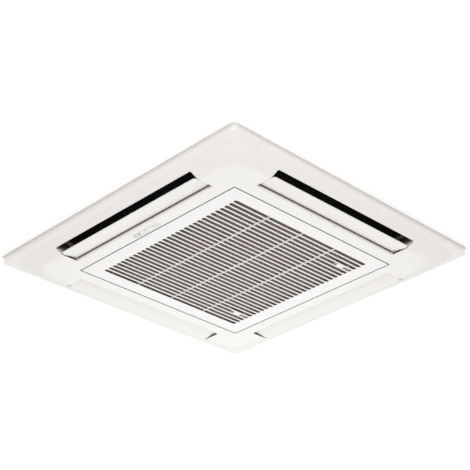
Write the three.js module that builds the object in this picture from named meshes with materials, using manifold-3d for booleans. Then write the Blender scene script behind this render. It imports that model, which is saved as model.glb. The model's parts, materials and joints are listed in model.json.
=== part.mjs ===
// Four-way ceiling cassette air conditioner.
//
// Millimetres, +Z up. The origin is the middle of the panel in the plane of the ceiling:
// the fascia hangs below z = 0 and the cabinet stands above it in the ceiling void.
// The grille is hinged on the -X side and latched on the +X side.

import * as THREE from 'three';
import { mergeVertices } from 'three/addons/utils/BufferGeometryUtils.js';
import Module from 'manifold-3d';

const wasm = await Module();
wasm.setup();

// ---------------------------------------------------------------- driving dimensions

const CLEAR = 0.4; // gap between neighbouring pieces

const PANEL_HALF = 475; // half the side of the fascia
const RIM_HEIGHT = 21.8; // height of the fascia's outer edge
const RIM_ROUND = 3; // rounding under the outer edge
const RIM_WIDTH = 22; // from the outer edge to the shoulder, as seen from below
const SHOULDER_RUN = 46; // width of the curved shoulder, as seen from below
const FLANGE_HALF = PANEL_HALF - RIM_WIDTH; // where the flat flange meets the shoulder
const FLANGE_DEPTH = RIM_HEIGHT + 2.2; // depth of that line below the ceiling
const FIELD_HALF = FLANGE_HALF - SHOULDER_RUN; // where the shoulder meets the flat field
const FIELD_DEPTH = 49.5; // depth of the flat field below the ceiling
const SHOULDER_STEEP = 1.45; // slope of the shoulder at the flange against its mean slope
const RIM_CORNER = 16;
const FLANGE_CORNER = 58;
const FIELD_CORNER = 60;
const FASCIA_WALL = 3;
const SEAL_LAND = 11; // width of the rim's flat back

const MOUTH_WIDTH = 76; // from the inner to the outer lip of an outlet
const MOUTH_OUTER = FLANGE_HALF - 21; // outer lip, on the shoulder
const MOUTH_INNER = MOUTH_OUTER - MOUTH_WIDTH; // inner lip, on the field
const MOUTH_OUTER_DEPTH = FIELD_DEPTH - 12;
const MOUTH_RETURN = 12; // depth of the lip that turns up round an outlet
const MOUTH_RETURN_WALL = 2;
const DUCT_INNER = MOUTH_INNER - 10; // the same walls where they reach z = 0
const DUCT_OUTER = MOUTH_OUTER - 28;
const DUCT_HALF_LENGTH = FIELD_HALF - 131; // outlets run from end to end of this
const DUCT_WALL = 3;
const DUCT_CORNER = 4;

const SEAM = 2.5; // gap round the grille
const BAND = 41.75; // flat band between the grille's well and the outlets
const WELL_HALF = MOUTH_INNER - BAND; // inside of the well that takes the grille
const WELL_WALL = 2.5;
const WELL_OUTER = WELL_HALF + WELL_WALL;
const LEDGE_WIDTH = 28.25;
const LEDGE_Z = -FIELD_DEPTH + 27.5; // underside of the ledge above the grille
const LEDGE_THICK = 2;
const THROAT_HALF = WELL_HALF - LEDGE_WIDTH; // square throat above the ledge

const VANE_HALF_LENGTH = DUCT_HALF_LENGTH - 2;
const VANE_THICK = 4;
const VANE_CORNER = 13;
const VANE_START = MOUTH_INNER + 3; // inner edge of the blade
const VANE_WIDTH = 58;
const VANE_RISE = 12; // inner edge above the level of the field
const VANE_PIVOT = { out: MOUTH_INNER + 36, z: -FIELD_DEPTH + 19.5 };
const VANE_PLATE = 3; // thickness of the end plates that carry the pivots
const VANE_PLATE_AT = VANE_HALF_LENGTH - 12;
const PIVOT_PIN_R = 3;
const PIVOT_BOSS_R = 5;
const MOTOR_SHAFT_R = 2.2;
const STEPPER_R = 14;

const GRILLE_HALF = WELL_HALF - SEAM;
const FACE_THICK = 2.2; // grille face and bars
const SKIRT_TOP = -FIELD_DEPTH + 12;
const SKIRT_WALL = 2;
const SLOT_ROWS = 31;
const SLOT_PITCH = 2 * (GRILLE_HALF - 40.5) / SLOT_ROWS;
const BAR_WIDTH = 4; // between two rows of slots
const SLOT_WIDTH = SLOT_PITCH - BAR_WIDTH;
const SLOT_HALF_LENGTH = GRILLE_HALF - 48.75;
const RIB_AT = [-SLOT_HALF_LENGTH / 2, 0, SLOT_HALF_LENGTH / 2];
const RIB_THICK = 3;

const HINGE_AT = { x: -GRILLE_HALF + 11.75, z: -FIELD_DEPTH + 6.5 };
const HINGE_Y = [-GRILLE_HALF + 111.75, GRILLE_HALF - 111.75];
const HINGE_PIN_R = 1.75;
const HOOK_R = 3.6;
const HOOK_WIDTH = 6;

const LATCH_ROWS = [3, SLOT_ROWS - 4]; // rows of the slots that the latch knobs stand in
const LATCH_TRAVEL = 6; // how far a latch slides out to lock
const LATCH_TIP = GRILLE_HALF - 0.5; // end of a tongue that is drawn clear
const LATCH_WIDTH = 14;
const LATCH_THICK = 2;
const LATCH_LIFT = 0.7; // gap between the face and the tongue
const LATCH_LIP = 1.5; // thickness of the guide lips over a tongue
const LATCH_LIP_Z = -FIELD_DEPTH + FACE_THICK + LATCH_LIFT + LATCH_THICK + CLEAR;
const KNOB_LENGTH = 26;
const KNOB_X = [SLOT_HALF_LENGTH - 38 - KNOB_LENGTH, SLOT_HALF_LENGTH - 38];
const LATCH_GUIDES_X = [KNOB_X[1] + 17, LATCH_TIP - 27];
const LATCH_GUIDE_LENGTH = 10;
const RIB_TOP = LATCH_LIP_Z + LATCH_LIP; // ribs and seat end level with the latch guides

const FILTER_HALF = THROAT_HALF - 6;
const FILTER_THICK = 4;
const FILTER_RIM = 7;
const FILTER_BOTTOM = RIB_TOP + 0.3;
const FILTER_BARS_AT = [-FILTER_HALF / 2, 0, FILTER_HALF / 2];

const RECEIVER_X = [-WELL_HALF - 21.75, -WELL_HALF - 6.75]; // window of the signal receiver
const RECEIVER_Y = [-28, 62];

const SCREW_R = 3;
const SCREW_HOLE_R = SCREW_R + CLEAR;

const BODY_HALF = PANEL_HALF - 55; // half the side of the cabinet
const BODY_CHAMFER = 130; // cut off each corner, along each side
const BODY_BOTTOM = 6;
const BODY_TOP = 252;
const SHEET = 1.2; // steel sheet
const LINER = 8; // foam inside the cabinet
const CORNER_OUT = (2 * BODY_HALF - BODY_CHAMFER) / Math.SQRT2; // cut corners from the middle
const CORNER_HALF = BODY_CHAMFER / Math.SQRT2; // half the width of a cut corner
const LINER_OUT = CORNER_OUT - SHEET - CLEAR - LINER; // inside of the foam at a cut corner

const COIL_THICK = 30;
const COIL_OUTER = DUCT_INNER - 13;
const COIL_INNER = COIL_OUTER - COIL_THICK;
const COIL_CORNER = 70;
const COIL_TOP = BODY_TOP - 16;
const COIL_CORNER_OUT = (COIL_OUTER - COIL_CORNER) * Math.SQRT2 + COIL_CORNER;
const COIL_OPEN_CORNER = 1; // the corner between -X and +Y, where the pipes leave
const HEADER_AT = [COIL_CORNER_OUT - 14, -14]; // out from the middle and across, at that corner
const PIPES = [
  { name: 'gas_pipe', radius: 7.9, nut: 14, t: 30, z: 100 },
  { name: 'liquid_pipe', radius: 4.8, nut: 10, t: -36, z: 78 },
];

const FAN_R = COIL_INNER - 63;
const FAN_EYE_R = FAN_R - 46;
const BLADE_START_R = FAN_R - 90;
const FAN_STEPS = 32; // flats round the fan and its inlet
const FAN_BLADES = 7;
const FAN_BOTTOM = 40;
const FAN_TOP = 170;
const HUB_Z = FAN_TOP - 42; // underside of the disc that the shaft carries
const SHAFT_R = 6;
const MOTOR_R = 70;
const MOTOR_TOP = FAN_TOP + 52;
const BELL_SHEET = 2.2;
const BELL_BOTTOM = BODY_BOTTOM - 2.8;
const BELL_RISE = FAN_BOTTOM - 6; // height of the rounded inlet
const BELL_THROAT_R = FAN_EYE_R - 6;
const BELL_MOUTH_R = FAN_R - 8;

const PAN_TOP = FAN_BOTTOM + 12;
const PAN_TROUGH_Z = PAN_TOP - 22;
const PAN_HOLE_R = FAN_R + 6;
const PAN_INSET = SHEET + LINER + 2 * CLEAR;
const SLOT_IN_PAN = { inner: DUCT_INNER, outer: DUCT_OUTER, half: DUCT_HALF_LENGTH - 6 };

const PUMP_R = 19;
const PUMP_SUMP = PUMP_R + 6; // half the width of the sump that it stands in
const PUMP_OUT = LINER_OUT - CLEAR - 4 - PUMP_SUMP; // the foam pan keeps a 4 mm wall here
const PUMP_CORNER = 3; // the corner between +X and -Y
const SPIGOT_R = 16;
const SPIGOT_Z = BODY_TOP - 47;
const FLOAT_R = 11;
const FLOAT_STEM_R = 3.5;
const FLOAT_OUT = PUMP_OUT;
const FLOAT_ACROSS = PUMP_R + FLOAT_R + 12;

const BOX_HALF_LENGTH = 165; // control box
const BOX_WIDTH = 43;
const BOX_Y = [-THROAT_HALF + 5, -THROAT_HALF + 5 + BOX_WIDTH];
const BOX_Z = [-14, BELL_BOTTOM - CLEAR];

const FRESH_AIR = { x: -150, z: (BODY_BOTTOM + BODY_TOP) / 2, radius: 50 };

// spacing of the suspension rods
const HANGER_PITCH = { x: 2 * BODY_HALF - 60, y: 2 * BODY_HALF - 160 };
const HANGER_Z = 170;
const HANGER_SHEET = 2.5;
const HANGER_HALF = 26;
const ROD_SLOT = { half: 6, length: 20 };

const SIDES = ['xp', 'yp', 'xn', 'yn']; // outward directions, a quarter turn apart
const CORNERS = ['pp', 'np', 'nn', 'pn']; // signs of x and y, a quarter turn apart
const QUARTER = Math.PI / 2;
const EPS = 1; // how far a cutting tool runs past what it cuts

// ---------------------------------------------------------------- solids from shapes

/** A solid for adding and cutting, from any closed geometry. */
function solid(geometry) {
  const bare = new THREE.BufferGeometry();
  bare.setAttribute('position', geometry.getAttribute('position').clone());
  if (geometry.index) bare.setIndex(geometry.index.clone());
  const merged = mergeVertices(bare, 1e-4);
  const triangles = [];
  const index = merged.index.array;
  for (let i = 0; i < index.length; i += 3) {
    const [a, b, c] = [index[i], index[i + 1], index[i + 2]];
    if (a !== b && b !== c && c !== a) triangles.push(a, b, c);
  }
  return new wasm.Manifold(new wasm.Mesh({
    numProp: 3,
    vertProperties: new Float32Array(merged.getAttribute('position').array),
    triVerts: new Uint32Array(triangles),
  }));
}

/** A three.js geometry from a finished solid. */
function geometryOf(manifold) {
  const mesh = manifold.asOriginal().simplify(1e-3).getMesh();
  const geometry = new THREE.BufferGeometry();
  geometry.setAttribute('position', new THREE.BufferAttribute(mesh.vertProperties, 3));
  geometry.setIndex(new THREE.BufferAttribute(mesh.triVerts, 1));
  geometry.computeVertexNormals();
  return geometry;
}

/** The sum of several solids. */
function join(parts) {
  return parts.reduce((sum, part) => sum.add(part));
}

/** One solid with several others cut from it. */
function cut(base, tools) {
  return tools.reduce((rest, tool) => rest.subtract(tool), base);
}

/** A solid moved by a matrix. */
function moved(manifold, matrix) {
  return manifold.transform(matrix.elements);
}

/** A solid turned about the vertical axis by a number of quarter turns. */
function turned(manifold, quarters) {
  return moved(manifold, new THREE.Matrix4().makeRotationZ(quarters * QUARTER));
}

/** A solid shifted by x, y and z. */
function shifted(manifold, x, y, z) {
  return moved(manifold, new THREE.Matrix4().makeTranslation(x, y, z));
}

/** A box between two limits on each axis. */
function box([x0, x1], [y0, y1], [z0, z1]) {
  const geometry = new THREE.BoxGeometry(x1 - x0, y1 - y0, z1 - z0);
  geometry.translate((x0 + x1) / 2, (y0 + y1) / 2, (z0 + z1) / 2);
  return solid(geometry);
}

/** A shape in the XY plane raised from z0 to z1. */
function prism(shape, [z0, z1], curveSegments = 3) {
  const geometry = new THREE.ExtrudeGeometry(shape, {
    depth: z1 - z0, bevelEnabled: false, curveSegments,
  });
  geometry.translate(0, 0, z0);
  return solid(geometry);
}

/** A profile in the XZ plane (x outward, z up) run along Y from y0 to y1. */
function alongY(shape, [y0, y1], curveSegments = 3) {
  const geometry = new THREE.ExtrudeGeometry(shape, {
    depth: y1 - y0, bevelEnabled: false, curveSegments,
  });
  geometry.rotateX(QUARTER); // the depth now runs towards -Y
  geometry.translate(0, y1, 0);
  return solid(geometry);
}

/** A round bar along Z, X or Y. */
function rod(radius, [from, to], { along = 'z', at = [0, 0], segments = 12 } = {}) {
  const geometry = new THREE.CylinderGeometry(radius, radius, to - from, segments);
  const middle = (from + to) / 2;
  if (along === 'z') {
    geometry.rotateX(QUARTER);
    geometry.translate(at[0], at[1], middle);
  } else if (along === 'x') {
    geometry.rotateZ(QUARTER);
    geometry.translate(middle, at[0], at[1]);
  } else {
    geometry.translate(at[0], middle, at[1]);
  }
  return solid(geometry);
}

/** A profile of [radius, z] points turned about the vertical axis. */
function revolve(profile, segments = 36) {
  const points = profile.map(([radius, z]) => new THREE.Vector2(radius, z));
  const geometry = new THREE.LatheGeometry(points, segments);
  geometry.rotateX(QUARTER);
  const body = solid(geometry);
  return body.volume() < 0 ? solid(flipped(geometry)) : body;
}

/** The same geometry with its faces turned round. */
function flipped(geometry) {
  const index = geometry.index.array;
  for (let i = 0; i < index.length; i += 3) {
    [index[i], index[i + 1]] = [index[i + 1], index[i]];
  }
  return geometry;
}

/** A rectangle with round corners, as a three.js shape. */
function roundRect([x0, x1], [y0, y1], radius) {
  const shape = new THREE.Shape();
  shape.moveTo(x0 + radius, y0);
  shape.lineTo(x1 - radius, y0);
  shape.absarc(x1 - radius, y0 + radius, radius, -QUARTER, 0, false);
  shape.lineTo(x1, y1 - radius);
  shape.absarc(x1 - radius, y1 - radius, radius, 0, QUARTER, false);
  shape.lineTo(x0 + radius, y1);
  shape.absarc(x0 + radius, y1 - radius, radius, QUARTER, 2 * QUARTER, false);
  shape.lineTo(x0, y0 + radius);
  shape.absarc(x0 + radius, y0 + radius, radius, 2 * QUARTER, 3 * QUARTER, false);
  return shape;
}

/** A square with round corners about the origin, as a three.js shape. */
function roundSquare(half, radius) {
  return roundRect([-half, half], [-half, half], radius);
}

/** A polygon through [x, y] points, as a three.js shape. */
function polygon(points) {
  return new THREE.Shape(points.map(([x, y]) => new THREE.Vector2(x, y)));
}

/** The points of a rectangle with round corners at one height. */
function ring([x0, x1], [y0, y1], radius, z, steps) {
  const centres = [
    [x1 - radius, y1 - radius], [x0 + radius, y1 - radius],
    [x0 + radius, y0 + radius], [x1 - radius, y0 + radius],
  ];
  return centres.flatMap(([cx, cy], quarter) => Array.from({ length: steps + 1 }, (_, i) => {
    const angle = QUARTER * (quarter + i / steps);
    return new THREE.Vector3(cx + radius * Math.cos(angle), cy + radius * Math.sin(angle), z);
  }));
}

/** A closed skin over level rings that have the same number of points, lowest ring first. */
function loft(rings) {
  const count = rings[0].length;
  const positions = rings.flat().flatMap((point) => point.toArray());
  const index = [];
  for (let level = 0; level + 1 < rings.length; level += 1) {
    for (let i = 0; i < count; i += 1) {
      const a = level * count + i;
      const b = level * count + (i + 1) % count;
      index.push(a, b, b + count, a, b + count, a + count);
    }
  }
  const outline = rings[0].map((point) => new THREE.Vector2(point.x, point.y));
  const last = (rings.length - 1) * count;
  for (const [a, b, c] of THREE.ShapeUtils.triangulateShape(outline, [])) {
    index.push(a, c, b);
    index.push(last + a, last + b, last + c);
  }
  const geometry = new THREE.BufferGeometry();
  geometry.setAttribute('position', new THREE.Float32BufferAttribute(positions, 3));
  geometry.setIndex(index);
  return solid(geometry);
}

// ---------------------------------------------------------------- fascia

/** Depth and corner radius of the fascia's outside at a distance from the middle. */
function shoulderProfile(steps) {
  const run = FLANGE_HALF - FIELD_HALF;
  const drop = FIELD_DEPTH - FLANGE_DEPTH;
  return Array.from({ length: steps + 1 }, (_, i) => {
    const u = i / steps;
    return {
      half: FLANGE_HALF - run * u,
      z: -FLANGE_DEPTH - drop * (SHOULDER_STEEP * u - (SHOULDER_STEEP - 1) * u * u),
      corner: FLANGE_CORNER + (FIELD_CORNER - FLANGE_CORNER) * u,
    };
  });
}

/** The fascia's outside as a stack of rounded squares, shrunk by an inset for its inside. */
function fasciaBlock(inset, top, shoulderSteps) {
  const rim = [
    { half: PANEL_HALF, z: top, corner: RIM_CORNER },
    { half: PANEL_HALF, z: -RIM_HEIGHT + RIM_ROUND, corner: RIM_CORNER },
    { half: PANEL_HALF - RIM_ROUND, z: -RIM_HEIGHT, corner: RIM_CORNER },
  ];
  const levels = [...rim, ...shoulderProfile(shoulderSteps)].map(({ half, z, corner }) => {
    const size = half - inset;
    const height = z === top ? z : z + inset;
    return ring([-size, size], [-size, size], corner, height, 4);
  });
  return loft(levels.reverse());
}

/** The air way of one outlet, on the +X side, grown by a wall thickness. */
function outletWay(wall, top, bottom) {
  const innerSlope = (MOUTH_INNER - DUCT_INNER) / FIELD_DEPTH;
  const outerSlope = (MOUTH_OUTER - DUCT_OUTER) / MOUTH_OUTER_DEPTH;
  const level = (z) => ring(
    [DUCT_INNER - innerSlope * z - wall, DUCT_OUTER - outerSlope * z + wall],
    [-DUCT_HALF_LENGTH - wall, DUCT_HALF_LENGTH + wall],
    DUCT_CORNER, z, 1,
  );
  return loft([level(bottom), level(top)]);
}

/** A frame between two squares, from z0 to z1. */
function squareFrame(outer, inner, [z0, z1], corner = 4) {
  const shape = roundSquare(outer, corner + outer - inner);
  shape.holes.push(roundSquare(inner, corner));
  return prism(shape, [z0, z1], 2);
}

/** A J-shaped hook that carries one of the grille's hinge pins. */
function hingeHook(y) {
  const { x, z } = HINGE_AT;
  const bore = HINGE_PIN_R + CLEAR;
  const shape = new THREE.Shape();
  shape.moveTo(x - HOOK_R, LEDGE_Z + EPS);
  shape.lineTo(x - HOOK_R, z);
  shape.absarc(x, z, HOOK_R, Math.PI, Math.PI * 1.9, false);
  shape.absarc(x, z, bore, Math.PI * 1.9, Math.PI * 0.5, true);
  shape.lineTo(x, z + HOOK_R);
  shape.lineTo(x, LEDGE_Z + EPS);
  return alongY(shape, [y - HOOK_WIDTH / 2, y + HOOK_WIDTH / 2], 6);
}

/** Stiffening ribs behind the fascia on the +X side. */
function fasciaRibs() {
  const ribs = [];
  const ductInside = DUCT_INNER - DUCT_WALL - CLEAR;
  const shoulderSide = MOUTH_OUTER + MOUTH_RETURN_WALL + 5;
  for (const y of [-150, 150]) {
    ribs.push(box([WELL_OUTER + CLEAR, ductInside], [y - 1, y + 1], [-FIELD_DEPTH + 2, -14]));
  }
  for (const y of [-180, 0, 180]) {
    ribs.push(box([shoulderSide, PANEL_HALF - 2], [y - 1, y + 1], [-RIM_HEIGHT - 18, -4]));
  }
  return join(ribs);
}

/** Screw places at the corners of the ledge. */
function screwPlaces() {
  const at = (WELL_HALF + THROAT_HALF) / 2;
  return [[at, at], [-at, at], [-at, -at], [at, -at]];
}

/** The moulded panel: its skin, the flat edge behind the rim and the lips round the outlets. */
function fasciaPanel() {
  const outside = fasciaBlock(0, 0, 4);
  const shell = outside.subtract(fasciaBlock(FASCIA_WALL, EPS, 2));
  const land = prism(roundSquare(PANEL_HALF - 1, RIM_CORNER), [-2, 0], 4)
    .subtract(prism(roundSquare(PANEL_HALF - SEAL_LAND, RIM_CORNER), [-3, EPS], 4));
  const ribs = fasciaRibs();
  const ribSet = join(SIDES.map((_, k) => turned(ribs, k))).intersect(outside);
  const lips = outletWay(MOUTH_RETURN_WALL, 0, -FIELD_DEPTH).intersect(outside)
    .subtract(fasciaBlock(MOUTH_RETURN, EPS, 2));
  const lipSet = SIDES.map((_, k) => turned(lips, k));

  const body = join([shell, land, ribSet, ...lipSet]);
  const opening = prism(roundSquare(WELL_HALF, 3), [-FIELD_DEPTH - EPS, 0], 3);
  const mouth = outletWay(0, EPS, -FIELD_DEPTH - EPS);
  const mouths = SIDES.map((_, k) => turned(mouth, k));
  const receiver = box(RECEIVER_X, RECEIVER_Y, [-FIELD_DEPTH - EPS, -FIELD_DEPTH + FASCIA_WALL + EPS]);
  return cut(body, [opening, ...mouths, receiver, ...LATCH_ROWS.map(latchWindow)]);
}

/** The frame inside the panel: the grille's well, the ledge above it, the throat and the hooks. */
function grilleFrame() {
  const ledgeTop = LEDGE_Z + LEDGE_THICK;
  const well = squareFrame(WELL_OUTER, WELL_HALF, [-FIELD_DEPTH + FASCIA_WALL + CLEAR, ledgeTop], 3);
  const ledge = squareFrame(WELL_OUTER, THROAT_HALF, [LEDGE_Z, ledgeTop], 3);
  const throat = squareFrame(THROAT_HALF + WELL_WALL, THROAT_HALF, [LEDGE_Z + 1, 0], 3);
  const screwHoles = screwPlaces().map((at) => rod(
    SCREW_HOLE_R, [LEDGE_Z - EPS, ledgeTop + EPS], { at, segments: 10 },
  ));
  const open = cut(join([well, ledge, throat]), [...screwHoles, ...LATCH_ROWS.map(latchWindow)]);
  return join([open, ...HINGE_Y.map(hingeHook)]);
}

/** The window in the well's wall that a latch tongue reaches into. */
function latchWindow(row) {
  const y = rowY(row);
  const reach = LATCH_WIDTH / 2 + 1;
  const z0 = -FIELD_DEPTH + FACE_THICK;
  return box([WELL_HALF - EPS, LATCH_TIP + LATCH_TRAVEL + EPS], [y - reach, y + reach], [z0, z0 + 4]);
}

/** The insulated duct between one outlet and the cabinet, on the +X side. */
function outletDuct() {
  const wall = outletWay(DUCT_WALL, 0, -FIELD_DEPTH)
    .subtract(outletWay(0, EPS, -FIELD_DEPTH - EPS));
  const end = DUCT_HALF_LENGTH + 2 * DUCT_WALL;
  const pivot = rod(PIVOT_PIN_R + CLEAR, [-end, end],
    { along: 'y', at: [VANE_PIVOT.out, VANE_PIVOT.z], segments: 12 });
  return wall.intersect(fasciaBlock(MOUTH_RETURN + CLEAR, 0, 2)).subtract(pivot);
}

// ---------------------------------------------------------------- vanes

/** The curved blade of a vane in section: lower face inwards to outwards, then back above. */
function vaneSection() {
  const lower = new THREE.SplineCurve([
    [0, VANE_RISE], [0.24, 0.59 * VANE_RISE], [0.52, 0.19 * VANE_RISE], [0.76, 0.03 * VANE_RISE],
    [1, 0.14 * VANE_RISE],
  ].map(([share, up]) => new THREE.Vector2(VANE_START + share * VANE_WIDTH, up - FIELD_DEPTH)))
    .getPoints(5);
  const upper = lower.map((point, i) => {
    const before = lower[Math.max(i - 1, 0)];
    const after = lower[Math.min(i + 1, lower.length - 1)];
    const tangent = after.clone().sub(before).normalize();
    const share = i / (lower.length - 1);
    const thick = VANE_THICK * (0.45 + 0.55 * Math.sin(Math.PI * share));
    return new THREE.Vector2(point.x - tangent.y * thick, point.y + tangent.x * thick);
  });
  return new THREE.Shape([...lower, ...upper.reverse()]);
}

/** An end plate of a vane: from the blade up to a round eye at the pivot. */
function vaneEndPlate(y) {
  const { out, z } = VANE_PIVOT;
  const bottom = -FIELD_DEPTH;
  const shape = polygon([
    [out - 18, bottom + 9], [out - 2, bottom + 4], [out + 14, bottom + 3],
    [out + 4, z - 4], [out - 4, z - 4],
  ]);
  return join([
    alongY(shape, [y, y + VANE_PLATE]),
    rod(PIVOT_BOSS_R + 1, [y, y + VANE_PLATE], { along: 'y', at: [out, z], segments: 10 }),
  ]);
}

/** One air vane on the +X side, with the pin at its -Y end and the motor's socket at +Y. */
function vane() {
  const { out, z } = VANE_PIVOT;
  const reach = VANE_HALF_LENGTH;
  const across = [VANE_START - 4, VANE_START + VANE_WIDTH + 4];
  const outline = prism(roundRect(across, [-reach, reach], VANE_CORNER), [-FIELD_DEPTH - 10, 0], 2);
  const blade = alongY(vaneSection(), [-reach - EPS, reach + EPS]).intersect(outline);
  const ribZ = [-FIELD_DEPTH + 3.5, z - 10];
  const rib = box([out - 1, out + 1], [-VANE_PLATE_AT, VANE_PLATE_AT + 1], ribZ);
  const middle = shifted(vaneEndPlate(0), 0, -VANE_PLATE / 2, 0);
  const pin = rod(PIVOT_PIN_R, [-DUCT_HALF_LENGTH - DUCT_WALL + 0.5, -VANE_PLATE_AT + 1],
    { along: 'y', at: [out, z], segments: 10 });
  const boss = rod(PIVOT_BOSS_R, [VANE_PLATE_AT - 1, VANE_HALF_LENGTH + 1],
    { along: 'y', at: [out, z], segments: 12 });
  const socket = rod(MOTOR_SHAFT_R + CLEAR, [VANE_PLATE_AT + 4, VANE_HALF_LENGTH + 2 * EPS],
    { along: 'y', at: [out, z], segments: 10 });
  const plates = [vaneEndPlate(VANE_PLATE_AT - 2), vaneEndPlate(-VANE_PLATE_AT - 1)];
  return join([blade, rib, middle, pin, boss, ...plates]).subtract(socket);
}

/** The stepper motor that turns one vane, behind the +Y end of its duct. */
function vaneMotor() {
  const { out, z } = VANE_PIVOT;
  const canOffset = 8; // the output shaft stands off the middle of the can
  const face = DUCT_HALF_LENGTH + DUCT_WALL + CLEAR;
  const ear = roundRect([out - 21, out + 21], [0, 8], 3.9);
  const ears = prism(ear, [0, 1.6], 2);
  const lift = new THREE.Matrix4().makeRotationX(QUARTER).setPosition(0, face + 1.6, z + canOffset - 4);
  return join([
    rod(STEPPER_R, [face, face + 19], { along: 'y', at: [out, z + canOffset], segments: 16 }),
    rod(4.5, [face, face + 4], { along: 'y', at: [out, z], segments: 10 }),
    rod(MOTOR_SHAFT_R, [VANE_HALF_LENGTH - 4, face + 2], { along: 'y', at: [out, z], segments: 8 }),
    box([out - 8, out + 8], [face + 2, face + 17], [z + canOffset, z + canOffset + 18]),
    moved(ears, lift),
  ]);
}

// ---------------------------------------------------------------- grille

/** The middle of a slot row. */
function rowY(row) {
  return (row - (SLOT_ROWS - 1) / 2) * SLOT_PITCH;
}

/** A slot with round ends. */
function slotShape(row) {
  const y = rowY(row);
  return roundRect([-SLOT_HALF_LENGTH, SLOT_HALF_LENGTH], [y - SLOT_WIDTH / 2, y + SLOT_WIDTH / 2],
    SLOT_WIDTH / 2 - 2);
}

/** Guides on the grille that one latch slides in. */
function latchGuides(row) {
  const y = rowY(row);
  const bottom = -FIELD_DEPTH + FACE_THICK - 0.2;
  const side = LATCH_WIDTH / 2 + CLEAR;
  const top = LATCH_LIP_Z + LATCH_LIP;
  const guides = [];
  for (const middle of LATCH_GUIDES_X) {
    const x = [middle - LATCH_GUIDE_LENGTH / 2, middle + LATCH_GUIDE_LENGTH / 2];
    for (const sign of [-1, 1]) {
      const inner = y + sign * side;
      const outer = y + sign * (side + 2);
      const lip = y + sign * (side - 2);
      const wall = [Math.min(inner, outer), Math.max(inner, outer)];
      const hook = [Math.min(lip, outer), Math.max(lip, outer)];
      guides.push(box(x, wall, [bottom, top]));
      guides.push(box(x, hook, [LATCH_LIP_Z, top]));
    }
  }
  return join(guides);
}

/** The posts and pin of one grille hinge. */
function grillePin(y) {
  const { x, z } = HINGE_AT;
  const inner = HOOK_WIDTH / 2 + 1;
  const post = polygon([
    [x - 6, -FIELD_DEPTH + 1], [x + 6, -FIELD_DEPTH + 1], [x + 2.5, z + 2.5], [x - 2.5, z + 2.5],
  ]);
  return join([
    alongY(post, [y + inner, y + inner + 2]),
    alongY(post, [y - inner - 2, y - inner]),
    rod(HINGE_PIN_R, [y - inner - 1, y + inner + 1], { along: 'y', at: [x, z], segments: 10 }),
  ]);
}

/** The hinged intake grille: a slotted face, deep cross ribs and a skirt. */
function intakeGrille() {
  const faceTop = -FIELD_DEPTH + FACE_THICK;
  const face = roundSquare(GRILLE_HALF, 2);
  for (let row = 0; row < SLOT_ROWS; row += 1) face.holes.push(slotShape(row));
  const plate = prism(face, [-FIELD_DEPTH, faceTop], 1);
  const skirt = squareFrame(GRILLE_HALF, GRILLE_HALF - SKIRT_WALL, [-FIELD_DEPTH + 1, SKIRT_TOP], 2);
  const seatHalf = FILTER_HALF + 2;
  const seat = squareFrame(seatHalf + 2, seatHalf, [faceTop - 0.5, RIB_TOP], 4);
  const ribs = RIB_AT.map((x) => box(
    [x - RIB_THICK / 2, x + RIB_THICK / 2], [-seatHalf - 1, seatHalf + 1], [-FIELD_DEPTH, RIB_TOP],
  ));
  const notches = HINGE_Y.map((y) => box(
    [-GRILLE_HALF - EPS, -GRILLE_HALF + SKIRT_WALL + EPS],
    [y - HOOK_WIDTH / 2 - 1, y + HOOK_WIDTH / 2 + 1], [faceTop, SKIRT_TOP + EPS],
  ));
  const tongueGaps = LATCH_ROWS.map((row) => {
    const y = rowY(row);
    const reach = LATCH_WIDTH / 2 + CLEAR;
    return box([FILTER_HALF, GRILLE_HALF + EPS], [y - reach, y + reach], [faceTop, faceTop + 4]);
  });
  const moulding = join([plate, skirt, seat, ...ribs]);
  return join([
    cut(moulding, [...notches, ...tongueGaps]),
    ...LATCH_ROWS.map(latchGuides), ...HINGE_Y.map(grillePin),
  ]);
}

/** A sliding latch: a flat tongue with a knob that stands in one slot. */
function latchSlide(row) {
  const y = rowY(row);
  const z0 = -FIELD_DEPTH + FACE_THICK + LATCH_LIFT;
  const half = LATCH_WIDTH / 2;
  const tongue = roundRect([KNOB_X[0] - 6, LATCH_TIP], [y - half, y + half], 2);
  const knobHalf = SLOT_WIDTH / 2 - CLEAR - 0.3;
  const knob = roundRect(KNOB_X, [y - knobHalf, y + knobHalf], 2.5);
  const grips = [-7, 0, 7].map((dx) => {
    const x = (KNOB_X[0] + KNOB_X[1]) / 2 + dx;
    return box([x - 1, x + 1], [y - knobHalf - 1, y + knobHalf + 1],
      [-FIELD_DEPTH - 2, -FIELD_DEPTH + 0.6]);
  });
  return join([
    prism(tongue, [z0, z0 + LATCH_THICK], 2),
    cut(prism(knob, [-FIELD_DEPTH, z0 + 1], 2), grips),
  ]);
}

/** The filter's frame with its cross bars. */
function filterFrame() {
  const z = [FILTER_BOTTOM, FILTER_BOTTOM + FILTER_THICK];
  const rim = squareFrame(FILTER_HALF, FILTER_HALF - FILTER_RIM, z, 6);
  const span = [-FILTER_HALF + 3, FILTER_HALF - 3];
  const bars = FILTER_BARS_AT.flatMap((at) => [
    box([at - 1.5, at + 1.5], span, [z[0] + 0.9, z[1]]),
    box(span, [at - 1.5, at + 1.5], [z[0] + 0.9, z[1]]),
  ]);
  return join([rim, ...bars]);
}

/** The filter's net, a thin sheet under the cross bars. */
function filterNet() {
  const half = FILTER_HALF - FILTER_RIM - CLEAR;
  return prism(roundSquare(half, 5), [FILTER_BOTTOM, FILTER_BOTTOM + 0.5], 2);
}

// ---------------------------------------------------------------- receiver in the panel

/** The window of the signal receiver, flush in the field. */
function receiverLens() {
  const x = [RECEIVER_X[0] + CLEAR, RECEIVER_X[1] - CLEAR];
  const y = [RECEIVER_Y[0] + CLEAR, RECEIVER_Y[1] - CLEAR];
  return prism(roundRect(x, y, 1), [-FIELD_DEPTH, -FIELD_DEPTH + FASCIA_WALL], 2);
}

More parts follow.
